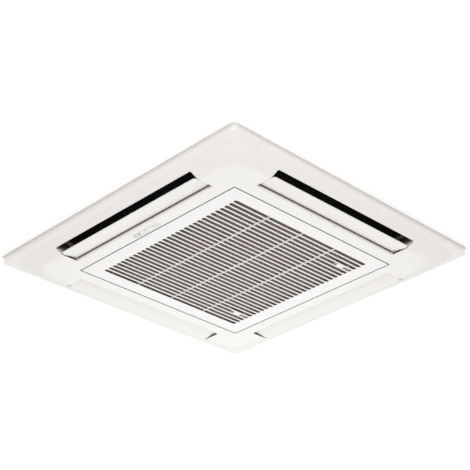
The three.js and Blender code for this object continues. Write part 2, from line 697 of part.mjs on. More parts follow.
/** The circuit board housing behind the receiver window. */
function receiverBoard() {
  const base = -FIELD_DEPTH + FASCIA_WALL + CLEAR;
  const x = [RECEIVER_X[0] - 4, -WELL_OUTER - CLEAR];
  const y = [RECEIVER_Y[0] - 8, RECEIVER_Y[1] + 8];
  const shell = box(x, y, [base, base + 12]);
  const plug = box([x[0] + 7, x[0] + 15], [y[0] + 58, y[0] + 72], [base + 12 - EPS, base + 20]);
  return join([shell, plug]);
}

// ---------------------------------------------------------------- cabinet

/** The cabinet's eight-sided outline, drawn in by an inset. */
function octagon(inset) {
  const half = BODY_HALF - inset;
  const flat = BODY_HALF - BODY_CHAMFER - inset * Math.tan(QUARTER / 4);
  const points = [];
  for (let k = 0; k < 4; k += 1) {
    const [c, s] = [Math.round(Math.cos(k * QUARTER)), Math.round(Math.sin(k * QUARTER))];
    for (const t of [-flat, flat]) points.push([half * c - t * s, half * s + t * c]);
  }
  return polygon(points);
}

/** The top plate with a round stiffening swage and the four cross swages. */
function cabinetTop() {
  const plate = prism(octagon(0), [BODY_TOP - SHEET, BODY_TOP]);
  const swageR = MOTOR_R + 80;
  const swage = revolve([
    [swageR, BODY_TOP - 0.5], [swageR + 16, BODY_TOP - 0.5], [swageR + 12, BODY_TOP + 3],
    [swageR + 4, BODY_TOP + 3], [swageR, BODY_TOP - 0.5],
  ], 32);
  const section = polygon([
    [-9, BODY_TOP - 0.5], [9, BODY_TOP - 0.5], [5, BODY_TOP + 3], [-5, BODY_TOP + 3],
  ]);
  const bar = alongY(section, [swageR + 50, CORNER_OUT - 100]);
  const bars = CORNERS.map((_, k) => toCorner(bar, k));
  return join([plate, swage, ...bars]);
}

/** A flat side of the cabinet, on the +X side, with a hem along its foot. */
function cabinetSide() {
  const flat = BODY_HALF - BODY_CHAMFER - 1;
  const z = [BODY_BOTTOM, BODY_TOP - SHEET - CLEAR];
  const plate = box([BODY_HALF - SHEET, BODY_HALF], [-flat, flat], z);
  const swage = polygon([
    [BODY_HALF - 0.4, 0], [BODY_HALF + 2.5, 4], [BODY_HALF + 2.5, 14], [BODY_HALF - 0.4, 18],
  ]);
  const bars = [70, 180].map((height) => shifted(alongY(swage, [-flat + 30, flat - 30]), 0, 0, height));
  return join([plate, ...bars]);
}

/** Turns a solid drawn on the +X side to face the corner between +X and +Y. */
function toCorner(manifold, quarters) {
  return moved(manifold, new THREE.Matrix4().makeRotationZ(QUARTER / 2 + quarters * QUARTER));
}

/** A corner plate, drawn facing +X, with holes where pipes pass. */
function cabinetCorner(holes) {
  const flat = CORNER_HALF - 1;
  const z = [BODY_BOTTOM, BODY_TOP - SHEET - CLEAR];
  return cut(box([CORNER_OUT - SHEET, CORNER_OUT], [-flat, flat], z), holes);
}

/** A hanger: an angle on the corner plate with a slotted lug for the suspension rod. */
function hangerBracket(k) {
  const side = k % 2 === 0 ? 1 : -1;
  const offset = side * (HANGER_PITCH.y - HANGER_PITCH.x) / 2 / Math.SQRT2;
  const out = (HANGER_PITCH.x + HANGER_PITCH.y) / 2 / Math.SQRT2;
  const base = CORNER_OUT + CLEAR;
  const width = [offset - HANGER_HALF, offset + HANGER_HALF];
  const lug = roundRect([base, out + 16], width, 8);
  const { half, length } = ROD_SLOT;
  lug.holes.push(roundRect(
    [out - half, out + half], [offset - length / 2, offset + length / 2], half - 0.1,
  ));
  const leg = box([base, base + HANGER_SHEET], width, [HANGER_Z - 40, HANGER_Z + 1]);
  const gusset = polygon([
    [base + 1, HANGER_Z - 30], [base + 18, HANGER_Z + 1], [base + 1, HANGER_Z + 1],
  ]);
  const webs = [width[0] + 1.5, width[1] - 3.5].map((t) => alongY(gusset, [t, t + 2]));
  return join([prism(lug, [HANGER_Z, HANGER_Z + HANGER_SHEET], 1), leg, ...webs]);
}

/** The foam that lines the cabinet's walls. */
function foamLiner(holes) {
  const ringShape = octagon(SHEET + CLEAR);
  ringShape.holes.push(octagon(SHEET + CLEAR + LINER));
  return cut(prism(ringShape, [BODY_BOTTOM + CLEAR, BODY_TOP - SHEET - CLEAR]), holes);
}

// ---------------------------------------------------------------- drain pan and gasket

/** The four air ways through the drain pan or the gasket. */
function panSlots(z, grow = 0) {
  const shape = roundRect(
    [SLOT_IN_PAN.inner - grow, SLOT_IN_PAN.outer + grow],
    [-SLOT_IN_PAN.half - grow, SLOT_IN_PAN.half + grow], 8,
  );
  const slot = prism(shape, z, 1);
  return SIDES.map((_, k) => turned(slot, k));
}

/** Clearance holes for the four panel screws. */
function screwHoles(z) {
  return screwPlaces().map((at) => rod(SCREW_HOLE_R + 0.4, z, { at, segments: 10 }));
}

/** The soft gasket between the panel and the cabinet. */
function ductGasket() {
  const shape = roundSquare(BODY_HALF - 10, 30);
  shape.holes.push(roundSquare(THROAT_HALF + WELL_WALL, 6));
  const z = [CLEAR, BODY_BOTTOM - CLEAR];
  return cut(prism(shape, z, 1), [...panSlots([0, BODY_BOTTOM]), ...screwHoles([0, BODY_BOTTOM])]);
}

/** The drain pan: a foam block with air ways, a trough under the coil and a round middle. */
function drainPan() {
  const block = prism(octagon(PAN_INSET), [BODY_BOTTOM, PAN_TOP]);
  const trough = roundSquare(COIL_OUTER + 5, COIL_CORNER + 5);
  trough.holes.push(roundSquare(COIL_INNER - 5, COIL_CORNER - 25));
  const hole = rod(PAN_HOLE_R, [BODY_BOTTOM - EPS, PAN_TOP + EPS], { segments: FAN_STEPS });
  return cut(block, [
    ...panSlots([BODY_BOTTOM - EPS, PAN_TOP + EPS]),
    prism(trough, [PAN_TROUGH_Z, PAN_TOP + EPS], 4), hole,
    ...screwHoles([BODY_BOTTOM - EPS, BODY_BOTTOM + 14]),
    pumpSump(),
  ]);
}

/** The pump's corner of the drain pan. */
function pumpSump() {
  const across = [PUMP_OUT - PUMP_SUMP, PUMP_OUT + PUMP_SUMP];
  const along = [-PUMP_SUMP, FLOAT_ACROSS + FLOAT_R + 5];
  const z = [PAN_TROUGH_Z - 8, PAN_TOP + EPS];
  return toCorner(prism(roundRect(across, along, 20), z, 3), PUMP_CORNER);
}

// ---------------------------------------------------------------- fan

/** The bell mouth: a square plate that turns up into a round throat. */
function bellMouth() {
  const z = [BELL_BOTTOM, BELL_BOTTOM + BELL_SHEET];
  const half = THROAT_HALF + WELL_WALL - CLEAR - 1;
  const holeR = BELL_MOUTH_R - 1;
  const hole = revolve([
    [0, z[0] - EPS], [holeR, z[0] - EPS], [holeR, z[1] + EPS], [0, z[1] + EPS],
  ], FAN_STEPS);
  const plate = prism(roundSquare(half, 5), z, 1).subtract(hole);
  const steps = 3;
  const run = BELL_MOUTH_R - BELL_THROAT_R;
  const inner = [];
  const outer = [];
  for (let i = 0; i <= steps; i += 1) {
    const angle = QUARTER * i / steps;
    const rise = BELL_RISE * (1 - Math.cos(angle));
    inner.push([BELL_MOUTH_R - run * Math.sin(angle), z[0] + rise]);
    outer.push([BELL_MOUTH_R - (run - BELL_SHEET) * Math.sin(angle), z[1] + rise]);
  }
  const top = FAN_BOTTOM + 8;
  const profile = [
    ...inner, [BELL_THROAT_R, top], [BELL_THROAT_R + BELL_SHEET, top], ...outer.reverse(),
  ];
  return plate.add(revolve([...profile, profile[0]], FAN_STEPS));
}

/** A fan blade: a thick backward-curved strip in plan. */
function bladeShape(index) {
  const turn = index * 2 * Math.PI / FAN_BLADES;
  const steps = 4;
  const front = [];
  const back = [];
  for (let i = 0; i <= steps; i += 1) {
    const u = i / steps;
    const radius = BLADE_START_R + (FAN_R - 4 - BLADE_START_R) * u;
    const angle = turn - 0.75 * u + 0.12 * u * u;
    const thick = 1.6 + 4.2 * Math.sin(Math.PI * Math.min(1, 0.15 + 0.75 * u));
    front.push([radius * Math.cos(angle + thick / radius), radius * Math.sin(angle + thick / radius)]);
    back.push([radius * Math.cos(angle - thick / radius), radius * Math.sin(angle - thick / radius)]);
  }
  return polygon([...front, ...back.reverse()]);
}

/** The fan's inlet ring in section, eye to rim: its underside and its upper side. */
const SHROUD_LOW = [[FAN_EYE_R, FAN_BOTTOM], [FAN_EYE_R + 2, FAN_BOTTOM + 12],
  [FAN_EYE_R + 14, FAN_BOTTOM + 25], [FAN_R, FAN_BOTTOM + 38]];
const SHROUD_HIGH = [[FAN_EYE_R - 2.5, FAN_BOTTOM], [FAN_EYE_R - 0.5, FAN_BOTTOM + 15],
  [FAN_EYE_R + 12, FAN_BOTTOM + 28], [FAN_R, FAN_BOTTOM + 41]];

/** The inlet ring that joins the blades below. */
function fanShroud() {
  return revolve([...SHROUD_LOW, ...[...SHROUD_HIGH].reverse(), SHROUD_LOW[0]], FAN_STEPS);
}

/** The turbo fan: hub dish and seven backward-curved blades. */
function fanImpeller() {
  const dish = MOTOR_R + 8; // the dish leaves room for the motor
  const hub = revolve([
    [SHAFT_R + CLEAR, HUB_Z], [dish, HUB_Z], [dish + 30, FAN_TOP - 7], [dish + 60, FAN_TOP - 3],
    [FAN_R, FAN_TOP - 3], [FAN_R, FAN_TOP], [dish + 58, FAN_TOP], [dish + 26, FAN_TOP - 4],
    [dish - 3, HUB_Z + 3.5], [SHAFT_R + CLEAR, HUB_Z + 3.5], [SHAFT_R + CLEAR, HUB_Z],
  ], FAN_STEPS);
  const above = 1.5 * CLEAR; // over the sloping inlet ring
  const underBlades = SHROUD_HIGH.slice(1).map(([radius, z]) => [radius, z + above]);
  const envelope = revolve([
    [0, FAN_BOTTOM + 30], [FAN_EYE_R - 8, FAN_BOTTOM + 16], ...underBlades, [FAN_R, FAN_TOP - 1],
    [dish + 61, FAN_TOP - 1], [0, FAN_TOP - 1],
  ], FAN_STEPS);
  const blades = Array.from({ length: FAN_BLADES }, (_, k) => (
    prism(bladeShape(k), [FAN_BOTTOM + 10, FAN_TOP]).intersect(envelope)
  ));
  return join([hub, ...blades]);
}

/** The nut under the hub. */
function fanNut() {
  const hex = polygon(Array.from({ length: 6 }, (_, k) => [
    14 * Math.cos(k * Math.PI / 3), 14 * Math.sin(k * Math.PI / 3),
  ]));
  const nut = join([
    prism(hex, [HUB_Z - 11, HUB_Z - 3]),
    rod(18, [HUB_Z - 3.2, HUB_Z - CLEAR], { segments: 16 }),
  ]);
  return nut.subtract(rod(SHAFT_R + CLEAR, [HUB_Z - 12, HUB_Z], { segments: 12 }));
}

/** The fan motor: two pressed shells with a seam, and the shaft. */
function fanMotor() {
  const seam = FAN_TOP + 10; // where the two shells are clamped together
  return revolve([
    [0, HUB_Z - 14], [SHAFT_R, HUB_Z - 14], [SHAFT_R, HUB_Z + 12], [18, HUB_Z + 14],
    [MOTOR_R - 8, HUB_Z + 18], [MOTOR_R, HUB_Z + 26], [MOTOR_R, seam], [MOTOR_R + 10, seam],
    [MOTOR_R + 10, seam + 6], [MOTOR_R, seam + 6], [MOTOR_R, MOTOR_TOP - 8],
    [MOTOR_R - 8, MOTOR_TOP], [0, MOTOR_TOP],
  ], 20);
}

/** The bracket that hangs the fan motor from the top plate. */
function motorBracket() {
  const sheet = 3;
  const width = [-14, 14];
  const z = [MOTOR_TOP + CLEAR, BODY_TOP - SHEET - CLEAR];
  const plate = rod(MOTOR_R + 14, [z[0], z[0] + sheet], { segments: 20 });
  const bend = MOTOR_R + 26;
  const leg = join([
    box([MOTOR_R, bend], width, [z[0], z[0] + sheet]),
    box([bend - sheet, bend], width, z),
    box([bend - sheet, bend + 20], width, [z[1] - sheet, z[1]]),
  ]);
  return join([plate, ...CORNERS.map((_, k) => toCorner(leg, k))]);
}

// ---------------------------------------------------------------- coil and pipes

/** The heat exchanger: a finned slab wrapped round the fan, open at one corner. */
function heatExchanger() {
  const shape = roundSquare(COIL_OUTER, COIL_CORNER);
  shape.holes.push(roundSquare(COIL_INNER, COIL_CORNER - (COIL_OUTER - COIL_INNER)));
  const slab = prism(shape, [PAN_TROUGH_Z + 4, COIL_TOP], 5);
  const across = [COIL_CORNER_OUT - 62, COIL_CORNER_OUT + 58];
  const gap = toCorner(box(across, [-62, 62], [0, BODY_TOP]), COIL_OPEN_CORNER);
  return slab.subtract(gap);
}

/** Header pipe with its feeders, between the ends of the coil. */
function coilHeader() {
  const [out, across] = HEADER_AT;
  const feeders = [];
  for (let z = 60; z <= 210; z += 50) {
    feeders.push(rod(4, [across, 40], { along: 'y', at: [out, z], segments: 8 }));
  }
  const pipe = rod(9, [48, COIL_TOP - 10], { at: HEADER_AT, segments: 16 });
  return toCorner(join([pipe, ...feeders]), COIL_OPEN_CORNER);
}

/** A pipe stub that comes out through the open corner and ends in a flare nut. */
function pipeStub({ radius, nut, t, z }) {
  const hex = polygon(Array.from({ length: 6 }, (_, k) => [
    nut * Math.cos(k * Math.PI / 3), nut * Math.sin(k * Math.PI / 3),
  ]));
  const end = CORNER_OUT + 46;
  const turnUp = new THREE.Matrix4().makeRotationY(QUARTER).setPosition(end - 22, t, z);
  return toCorner(join([
    rod(radius, [COIL_CORNER_OUT + 10, end - 4], { along: 'x', at: [t, z], segments: 16 }),
    moved(prism(hex, [0, 20]), turnUp),
    rod(radius + 2, [end - 26, end - 21], { along: 'x', at: [t, z], segments: 16 }),
  ]), COIL_OPEN_CORNER);
}

/** The cover plate round the pipes, outside the corner plate. */
function pipeCover() {
  const x = [CORNER_OUT + CLEAR, CORNER_OUT + CLEAR + 2];
  const plate = box(x, [-62, 56], [54, 124]);
  const holes = PIPES.map(({ radius, t, z }) => rod(radius + 1, [x[0] - 2, x[1] + 2],
    { along: 'x', at: [t, z], segments: 16 }));
  return toCorner(cut(plate, holes), COIL_OPEN_CORNER);
}

/** Holes for the two pipes through the corner plate and its foam. */
function pipeHoles() {
  return PIPES.map(({ radius, t, z }) => rod(radius + 2, [CORNER_OUT - 20, CORNER_OUT + 10],
    { along: 'x', at: [t, z], segments: 16 }));
}

// ---------------------------------------------------------------- drain pump

/** The drain pump: intake foot, motor, the outlet to the spigot and the arm of the float. */
function drainPump() {
  const at = [PUMP_OUT, 0];
  const foot = PAN_TROUGH_Z - 4;
  const stem = [FLOAT_OUT, FLOAT_ACROSS];
  const arm = [PAN_TOP + 60, PAN_TOP + 64];
  return toCorner(join([
    rod(PUMP_R / 2, [foot, foot + 50], { at }),
    rod(PUMP_R, [foot + 30, foot + 62], { at, segments: 16 }),
    rod(PUMP_R - 3, [foot + 60, foot + 112], { at, segments: 16 }),
    rod(7, [foot + 100, SPIGOT_Z + 7], { at }),
    rod(7, [PUMP_OUT, LINER_OUT - 3], { along: 'x', at: [0, SPIGOT_Z] }),
    box([PUMP_OUT - 3, PUMP_OUT + 3], [0, FLOAT_ACROSS + 4], arm),
    rod(FLOAT_STEM_R, [PAN_TROUGH_Z + 2, arm[1]], { at: stem, segments: 10 }),
    rod(7, [PAN_TROUGH_Z - 1, PAN_TROUGH_Z + 2], { at: stem, segments: 10 }),
  ]), PUMP_CORNER);
}

/** The float that rides on the switch stem. */
function drainFloat() {
  const z = PAN_TROUGH_Z + 2 + CLEAR;
  const at = [FLOAT_OUT, FLOAT_ACROSS];
  const body = rod(FLOAT_R, [z, z + 16], { at, segments: 16 });
  const bore = rod(FLOAT_STEM_R + CLEAR, [z - EPS, z + 17], { at, segments: 10 });
  return toCorner(body.subtract(bore), PUMP_CORNER);
}

/** The drain outlet: a ribbed tube with a flange against the corner plate. */
function drainSpigot() {
  const start = LINER_OUT - 2;
  const inner = SPIGOT_R - 3;
  const face = CORNER_OUT + CLEAR;
  const profile = [
    [inner, start], [SPIGOT_R, start], [SPIGOT_R, face], [SPIGOT_R + 9, face],
    [SPIGOT_R + 9, face + 2.6], [SPIGOT_R, face + 2.6], [SPIGOT_R, face + 40],
    [SPIGOT_R + 1.5, face + 42], [SPIGOT_R, face + 47], [inner, face + 47], [inner, start],
  ];
  const outward = new THREE.Matrix4().makeRotationY(QUARTER).setPosition(0, 0, SPIGOT_Z);
  return toCorner(moved(revolve(profile, 16), outward), PUMP_CORNER);
}

/** The hole for the drain outlet through the corner plate and its foam. */
function spigotHole() {
  return rod(SPIGOT_R + 1, [CORNER_OUT - 20, CORNER_OUT + 10],
    { along: 'x', at: [0, SPIGOT_Z], segments: 20 });
}

// ---------------------------------------------------------------- electrics

/** The control box under the bell mouth, an open tray that the lid closes. */
function controlBox() {
  const outer = box([-BOX_HALF_LENGTH, BOX_HALF_LENGTH], BOX_Y, BOX_Z);
  const sheet = 1.5;
  const inside = box(
    [-BOX_HALF_LENGTH + sheet, BOX_HALF_LENGTH - sheet], [BOX_Y[0] + sheet, BOX_Y[1] - sheet],
    [BOX_Z[0] - EPS, BOX_Z[1] - sheet],
  );
  const wireHole = rod(6, [BOX_HALF_LENGTH - 4, BOX_HALF_LENGTH + 4],
    { along: 'x', at: [(BOX_Y[0] + BOX_Y[1]) / 2, -5], segments: 16 });
  return cut(outer, [inside, wireHole]);
}

/** The lid of the control box, with turned-up edges. */
function controlLid() {
  const z = [BOX_Z[0] - CLEAR - 1.2, BOX_Z[0] - CLEAR];
  const plate = prism(roundRect([-BOX_HALF_LENGTH, BOX_HALF_LENGTH], BOX_Y, 3), z, 3);
  const swage = box(
    [-BOX_HALF_LENGTH + 20, BOX_HALF_LENGTH - 20], [BOX_Y[0] + 10, BOX_Y[1] - 10], [z[0] - 1, z[0] + 0.5],
  );
  return join([plate, swage]);
}

/** The terminal block inside the control box. */
function terminalBlock() {
  const y = [BOX_Y[0] + 10, BOX_Y[1] - 10];
  const pitch = 13.6;
  const start = BOX_HALF_LENGTH - 105;
  const base = box([start, start + 5 * pitch + 2], y, [BOX_Z[1] - 9, BOX_Z[1] - 2]);
  const walls = Array.from({ length: 6 }, (_, i) => (
    box([start + i * pitch, start + i * pitch + 2], y, [BOX_Z[1] - 13, BOX_Z[1] - 8])
  ));
  return join([base, ...walls]);
}

/** The plug of the fresh-air inlet in the -Y side. */
function freshAirPlug() {
  const { radius } = FRESH_AIR;
  const disc = revolve([
    [0, BODY_HALF - SHEET], [radius, BODY_HALF - SHEET], [radius, BODY_HALF + 1.5],
    [radius - 4, BODY_HALF + 1.5], [radius - 6, BODY_HALF], [0, BODY_HALF],
  ], 24);
  const outward = new THREE.Matrix4().makeRotationX(QUARTER).setPosition(FRESH_AIR.x, 0, FRESH_AIR.z);
  return moved(disc, outward);
}

/** The hole that the fresh-air plug closes, as cut from the side facing +X. */
function freshAirHole() {
  return rod(FRESH_AIR.radius + CLEAR, [BODY_HALF - 5, BODY_HALF + 5],
    { along: 'x', at: [FRESH_AIR.x, FRESH_AIR.z], segments: 24 });
}

/** A panel screw with its washer head under the ledge. */
function panelScrew() {
  const under = LEDGE_Z - CLEAR;
  return revolve([
    [0, under - 5], [6, under - 5], [6, under - 1.5], [9, under - 1.5], [9, under],
    [SCREW_R, under], [SCREW_R, 16], [SCREW_R - 1, 17.5], [0, 17.5],
  ], 8);
}

// ---------------------------------------------------------------- assembly

const FINISH = {
  fascia: { color: 0xf1f0ee, roughness: 0.45, metalness: 0 },
  vane: { color: 0xefece4, roughness: 0.45, metalness: 0 },
  panFoam: { color: 0x4b4b4d, roughness: 0.9, metalness: 0 },
  darkFoam: { color: 0x2a2a2c, roughness: 0.95, metalness: 0 },
  steel: { color: 0xb9bcbf, roughness: 0.4, metalness: 0.9 },
  copper: { color: 0xb8734a, roughness: 0.35, metalness: 1 },
  brass: { color: 0xb59a57, roughness: 0.35, metalness: 1 },
  aluminium: { color: 0xc9ccce, roughness: 0.4, metalness: 0.9 },
  darkPlastic: { color: 0x3a3b3d, roughness: 0.6, metalness: 0 },
  whitePlastic: { color: 0xe8e8e6, roughness: 0.5, metalness: 0 },
  lens: { color: 0xdcdbd6, roughness: 0.2, metalness: 0 },
  net: { color: 0x4a403c, roughness: 0.8, metalness: 0 },
};

/** A named mesh of one finished solid. */
function piece(name, manifold, finish) {
  const mesh = new THREE.Mesh(geometryOf(manifold), new THREE.MeshStandardMaterial(FINISH[finish]));
  mesh.name = name;
  return mesh;
}

/** Everything below the ceiling. */
function panelGroup() {
  const group = new THREE.Group();
  group.add(
    piece('fascia_panel', fasciaPanel(), 'fascia'),
    piece('grille_frame', grilleFrame(), 'fascia'),
  );
  const [duct, blade, motor] = [outletDuct(), vane(), vaneMotor()];
  SIDES.forEach((side, k) => {
    const quarter = new THREE.Group();
    quarter.rotation.z = k * QUARTER;
    quarter.add(
      piece(`outlet_duct_${side}`, duct, 'darkFoam'),
      piece(`vane_${side}`, blade, 'vane'),
      piece(`vane_motor_${side}`, motor, 'steel'),
    );
    group.add(quarter);
  });
  const screw = panelScrew();
  screwPlaces().forEach(([x, y], k) => {
    const mesh = piece(`panel_screw_${CORNERS[k]}`, screw, 'steel');
    mesh.position.set(x, y, 0);
    group.add(mesh);
  });
  group.add(
    piece('receiver_lens', receiverLens(), 'lens'),
    piece('receiver_board', receiverBoard(), 'whitePlastic'),
    piece('duct_gasket', ductGasket(), 'darkFoam'),
  );
  return group;
}

/** The hinged grille with its latches and filter. */
function grilleGroup() {
  const group = new THREE.Group();
  group.add(
    piece('intake_grille', intakeGrille(), 'fascia'),
    piece('latch_slide_n', latchSlide(LATCH_ROWS[0]), 'whitePlastic'),
    piece('latch_slide_p', latchSlide(LATCH_ROWS[1]), 'whitePlastic'),
    piece('filter_frame', filterFrame(), 'darkPlastic'),
    piece('filter_net', filterNet(), 'net'),
  );
  return group;
}

/** The steel cabinet with its foam, pan and hangers. */
function cabinetGroup() {
  const group = new THREE.Group();
  group.add(piece('cabinet_top', cabinetTop(), 'steel'));
  const side = cabinetSide();
  const holes = { 1: pipeHoles(), 3: [spigotHole()] };
  SIDES.forEach((name, k) => {
    const plate = name === 'yn' ? side.subtract(freshAirHole()) : side;
    group.add(piece(`cabinet_side_${name}`, turned(plate, k), 'steel'));
  });
  CORNERS.forEach((name, k) => {
    group.add(
      piece(`cabinet_corner_${name}`, toCorner(cabinetCorner(holes[k] ?? []), k), 'steel'),
      piece(`hanger_${name}`, toCorner(hangerBracket(k), k), 'steel'),
    );
  });
  const linerHoles = Object.entries(holes)
    .flatMap(([k, tools]) => tools.map((tool) => toCorner(tool, Number(k))));
  group.add(
    piece('foam_liner', foamLiner(linerHoles), 'darkFoam'),
    piece('drain_pan', drainPan(), 'panFoam'),
    piece('fresh_air_plug', freshAirPlug(), 'steel'),
  );
  return group;
}

/** What works inside the cabinet. */
function worksGroup() {
  const group = new THREE.Group();
  group.add(
    piece('bell_mouth', bellMouth(), 'darkPlastic'),
    piece('fan_impeller', fanImpeller(), 'whitePlastic'),
    piece('fan_shroud', fanShroud(), 'whitePlastic'),
    piece('fan_nut', fanNut(), 'steel'),
    piece('fan_motor', fanMotor(), 'steel'),
    piece('motor_bracket', motorBracket(), 'steel'),
    piece('heat_exchanger', heatExchanger(), 'aluminium'),
    piece('coil_header', coilHeader(), 'copper'),
    ...PIPES.map((pipe) => piece(pipe.name, pipeStub(pipe), 'brass')),
    piece('pipe_cover', pipeCover(), 'steel'),
    piece('drain_pump', drainPump(), 'whitePlastic'),
    piece('drain_float', drainFloat(), 'whitePlastic'),
    piece('drain_spigot', drainSpigot(), 'darkPlastic'),
    piece('control_box', controlBox(), 'steel'),
    piece('control_lid', controlLid(), 'steel'),
    piece('terminal_block', terminalBlock(), 'darkPlastic'),
  );
  return group;
}

const airConditioner = new THREE.Group();
airConditioner.add(panelGroup(), grilleGroup(), cabinetGroup(), worksGroup());

export default airConditioner;
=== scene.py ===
"""A four-way ceiling cassette air conditioner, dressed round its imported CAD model.

The panel hangs below the ceiling plane z = 0 and the cabinet stands above it. Shapes are worked out in
millimetres with numpy and turned into Blender meshes in metres. Hidden and plain parts keep their CAD
solids or a copy of them with softened edges.
"""

import json
import logging
import math
from collections.abc import Iterable, Sequence
from dataclasses import dataclass, field
from enum import Enum

import bmesh
import bpy
import numpy as np
from mathutils import Matrix, Vector

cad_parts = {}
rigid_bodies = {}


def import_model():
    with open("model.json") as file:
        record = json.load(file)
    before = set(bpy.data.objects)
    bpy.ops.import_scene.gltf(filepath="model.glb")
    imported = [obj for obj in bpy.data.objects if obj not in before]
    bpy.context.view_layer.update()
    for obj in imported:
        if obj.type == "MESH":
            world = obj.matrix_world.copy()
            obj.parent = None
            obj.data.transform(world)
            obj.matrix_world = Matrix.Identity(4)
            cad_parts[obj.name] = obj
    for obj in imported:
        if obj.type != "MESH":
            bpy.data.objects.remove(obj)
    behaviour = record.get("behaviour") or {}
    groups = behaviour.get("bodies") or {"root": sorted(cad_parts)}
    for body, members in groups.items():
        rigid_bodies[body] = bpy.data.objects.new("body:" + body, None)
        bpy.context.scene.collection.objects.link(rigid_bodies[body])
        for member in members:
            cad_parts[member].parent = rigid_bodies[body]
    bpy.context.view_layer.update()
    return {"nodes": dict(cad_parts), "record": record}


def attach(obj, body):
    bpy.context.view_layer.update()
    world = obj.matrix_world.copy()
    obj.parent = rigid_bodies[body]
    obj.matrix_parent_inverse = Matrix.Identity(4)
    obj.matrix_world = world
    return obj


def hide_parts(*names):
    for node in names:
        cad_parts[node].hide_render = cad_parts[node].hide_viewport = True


MM = 0.001
SIDES = ("xp", "yp", "xn", "yn")
CORNERS = ("pp", "np", "nn", "pn")
SIGNS = (-1.0, 1.0)
FIELD_DEPTH = 49.5  # from the ceiling down to the flat field of the panel and the face of the grille
# heights of the near-black rings in the seam round the grille, which paint the shade of the gap
SEAM_SHADE_HEIGHTS = (-49.25, -47.0)
# painted shade in the outlets' ends: the colour darkens from the first height up to the second, down to this
# share
PAINTED_SHADE_HEIGHTS = (-48.0, -30.0)
PAINTED_SHADE_END = 0.1
SHARP_ANGLE = 32.0
FLAT_ANGLE = 0.5
MERGE = 1e-6

log = logging.getLogger("cassette")


# ---------------------------------------------------------------- surfaces


@dataclass
class Surface:
    """Points in millimetres and the faces between them.

    Args:
        points: an (n, 3) array.
        faces: arrays of point numbers, one row for each face and one array for each face size.
    """

    points: np.ndarray
    faces: list[np.ndarray]

    def moved(self, x: float = 0.0, y: float = 0.0, z: float = 0.0) -> "Surface":
        """The surface shifted by a step."""
        return Surface(self.points + np.array([x, y, z]), self.faces)

    def turned(self, degrees: float) -> "Surface":
        """The surface turned about the vertical axis."""
        c, s = math.cos(math.radians(degrees)), math.sin(math.radians(degrees))
        return Surface(self.points @ np.array([[c, s, 0.0], [-s, c, 0.0], [0.0, 0.0, 1.0]]), self.faces)

    def on_four_sides(self) -> "Surface":
        """The surface and its copies at each quarter turn, as one."""
        return join(*(self.turned(90.0 * k) for k in range(4)))


def join(*surfaces: Surface) -> Surface:
    """Several surfaces as one, with the point numbers shifted along.

    Args:
        surfaces: the surfaces to put together.

    Returns:
        One surface with all points and faces.
    """
    counts = np.cumsum([0, *(len(surface.points) for surface in surfaces)])
    faces = [face + count for surface, count in zip(surfaces, counts) for face in surface.faces]
    return Surface(np.vstack([surface.points for surface in surfaces]), faces)


def spread(*coordinates: np.ndarray | float) -> np.ndarray:
    """Points from their coordinates, each spread to the common shape first."""
    return np.stack(np.broadcast_arrays(*coordinates), axis=-1)


def lifted(plan: np.ndarray, z: np.ndarray | float) -> np.ndarray:
    """Plane points lifted to one height, or to a height each."""
    return spread(plan[..., 0], plan[..., 1], z)


def polar(radius: np.ndarray | float, angle: np.ndarray) -> np.ndarray:
    """Plane points at distances and angles from the origin: radius (cos a, sin a)."""
    return spread(radius * np.cos(angle), radius * np.sin(angle))


def full_turn(count: int) -> np.ndarray:
    """Angles evenly round one turn."""
    return np.linspace(0.0, 2.0 * math.pi, count, endpoint=False)


def quarters(plan: np.ndarray, k: int) -> np.ndarray:
    """Plane points turned by k quarters of a turn."""
    return plan @ np.linalg.matrix_power(np.array([[0.0, 1.0], [-1.0, 0.0]]), k)


def mirrored(sign: float, *limits: float) -> list[float]:
    """Two limits on one side of the middle, the lower one first."""
    return sorted(sign * limit for limit in limits)


def grid(points: np.ndarray, closed: bool = False, keep: np.ndarray | None = None) -> Surface:
    """Four-sided faces between the rows and columns of a grid of points.

    A face looks along (step to the next row) x (step to the next column).

    Args:
        points: a (rows, columns, 3) array.
        closed: whether the last column joins the first.
        keep: a (rows - 1, columns - 1) mask of the faces to make, or None for all.

    Returns:
        The grid as a surface.
    """
    rows, columns = points.shape[:2]
    index = np.arange(rows * columns).reshape(rows, columns)
    if closed:
        index = np.hstack([index, index[:, :1]])
    quads = spread(index[:-1, :-1], index[1:, :-1], index[1:, 1:], index[:-1, 1:])
    return Surface(points.reshape(-1, 3), [quads.reshape(-1, 4) if keep is None else quads[keep]])


def tube(rings: np.ndarray) -> Surface:
    """A closed body from rings of points, with a flat cap at each end.

    Args:
        rings: a (stations, points round, 3) array.

    Returns:
        The side faces and both caps.
    """
    stations, around = rings.shape[:2]
    side = grid(rings, closed=True)
    last = (stations - 1) * around + np.arange(around)
    return Surface(side.points, [*side.faces, np.arange(around)[None, ::-1], last[None]])


def prism(outline: np.ndarray, z: Sequence[float]) -> Surface:
    """A closed body with a plane outline, carried straight up from one height to another."""
    return tube(lifted(outline, np.array(z, float)[:, None]))


def box(x: Sequence[float], y: Sequence[float], z: Sequence[float]) -> Surface:
    """A box between two limits on each axis."""
    return prism(np.array([[x[0], y[0]], [x[1], y[0]], [x[1], y[1]], [x[0], y[1]]], float), z)


def along_y(outline: np.ndarray, y: Sequence[float]) -> Surface:
    """A closed bar with an outline in x and z, carried from one y to another."""
    return tube(spread(outline[:, 0], np.array(y, float)[:, None], outline[:, 1]))


def round_square(half: float, radius: float, steps: int = 4) -> np.ndarray:
    """Points round a square with round corners: its corner centres + radius (cos a, sin a)."""
    arc = half - radius + polar(radius, np.linspace(0.0, math.pi / 2, steps + 1))
    return np.vstack([quarters(arc, k) for k in range(4)])


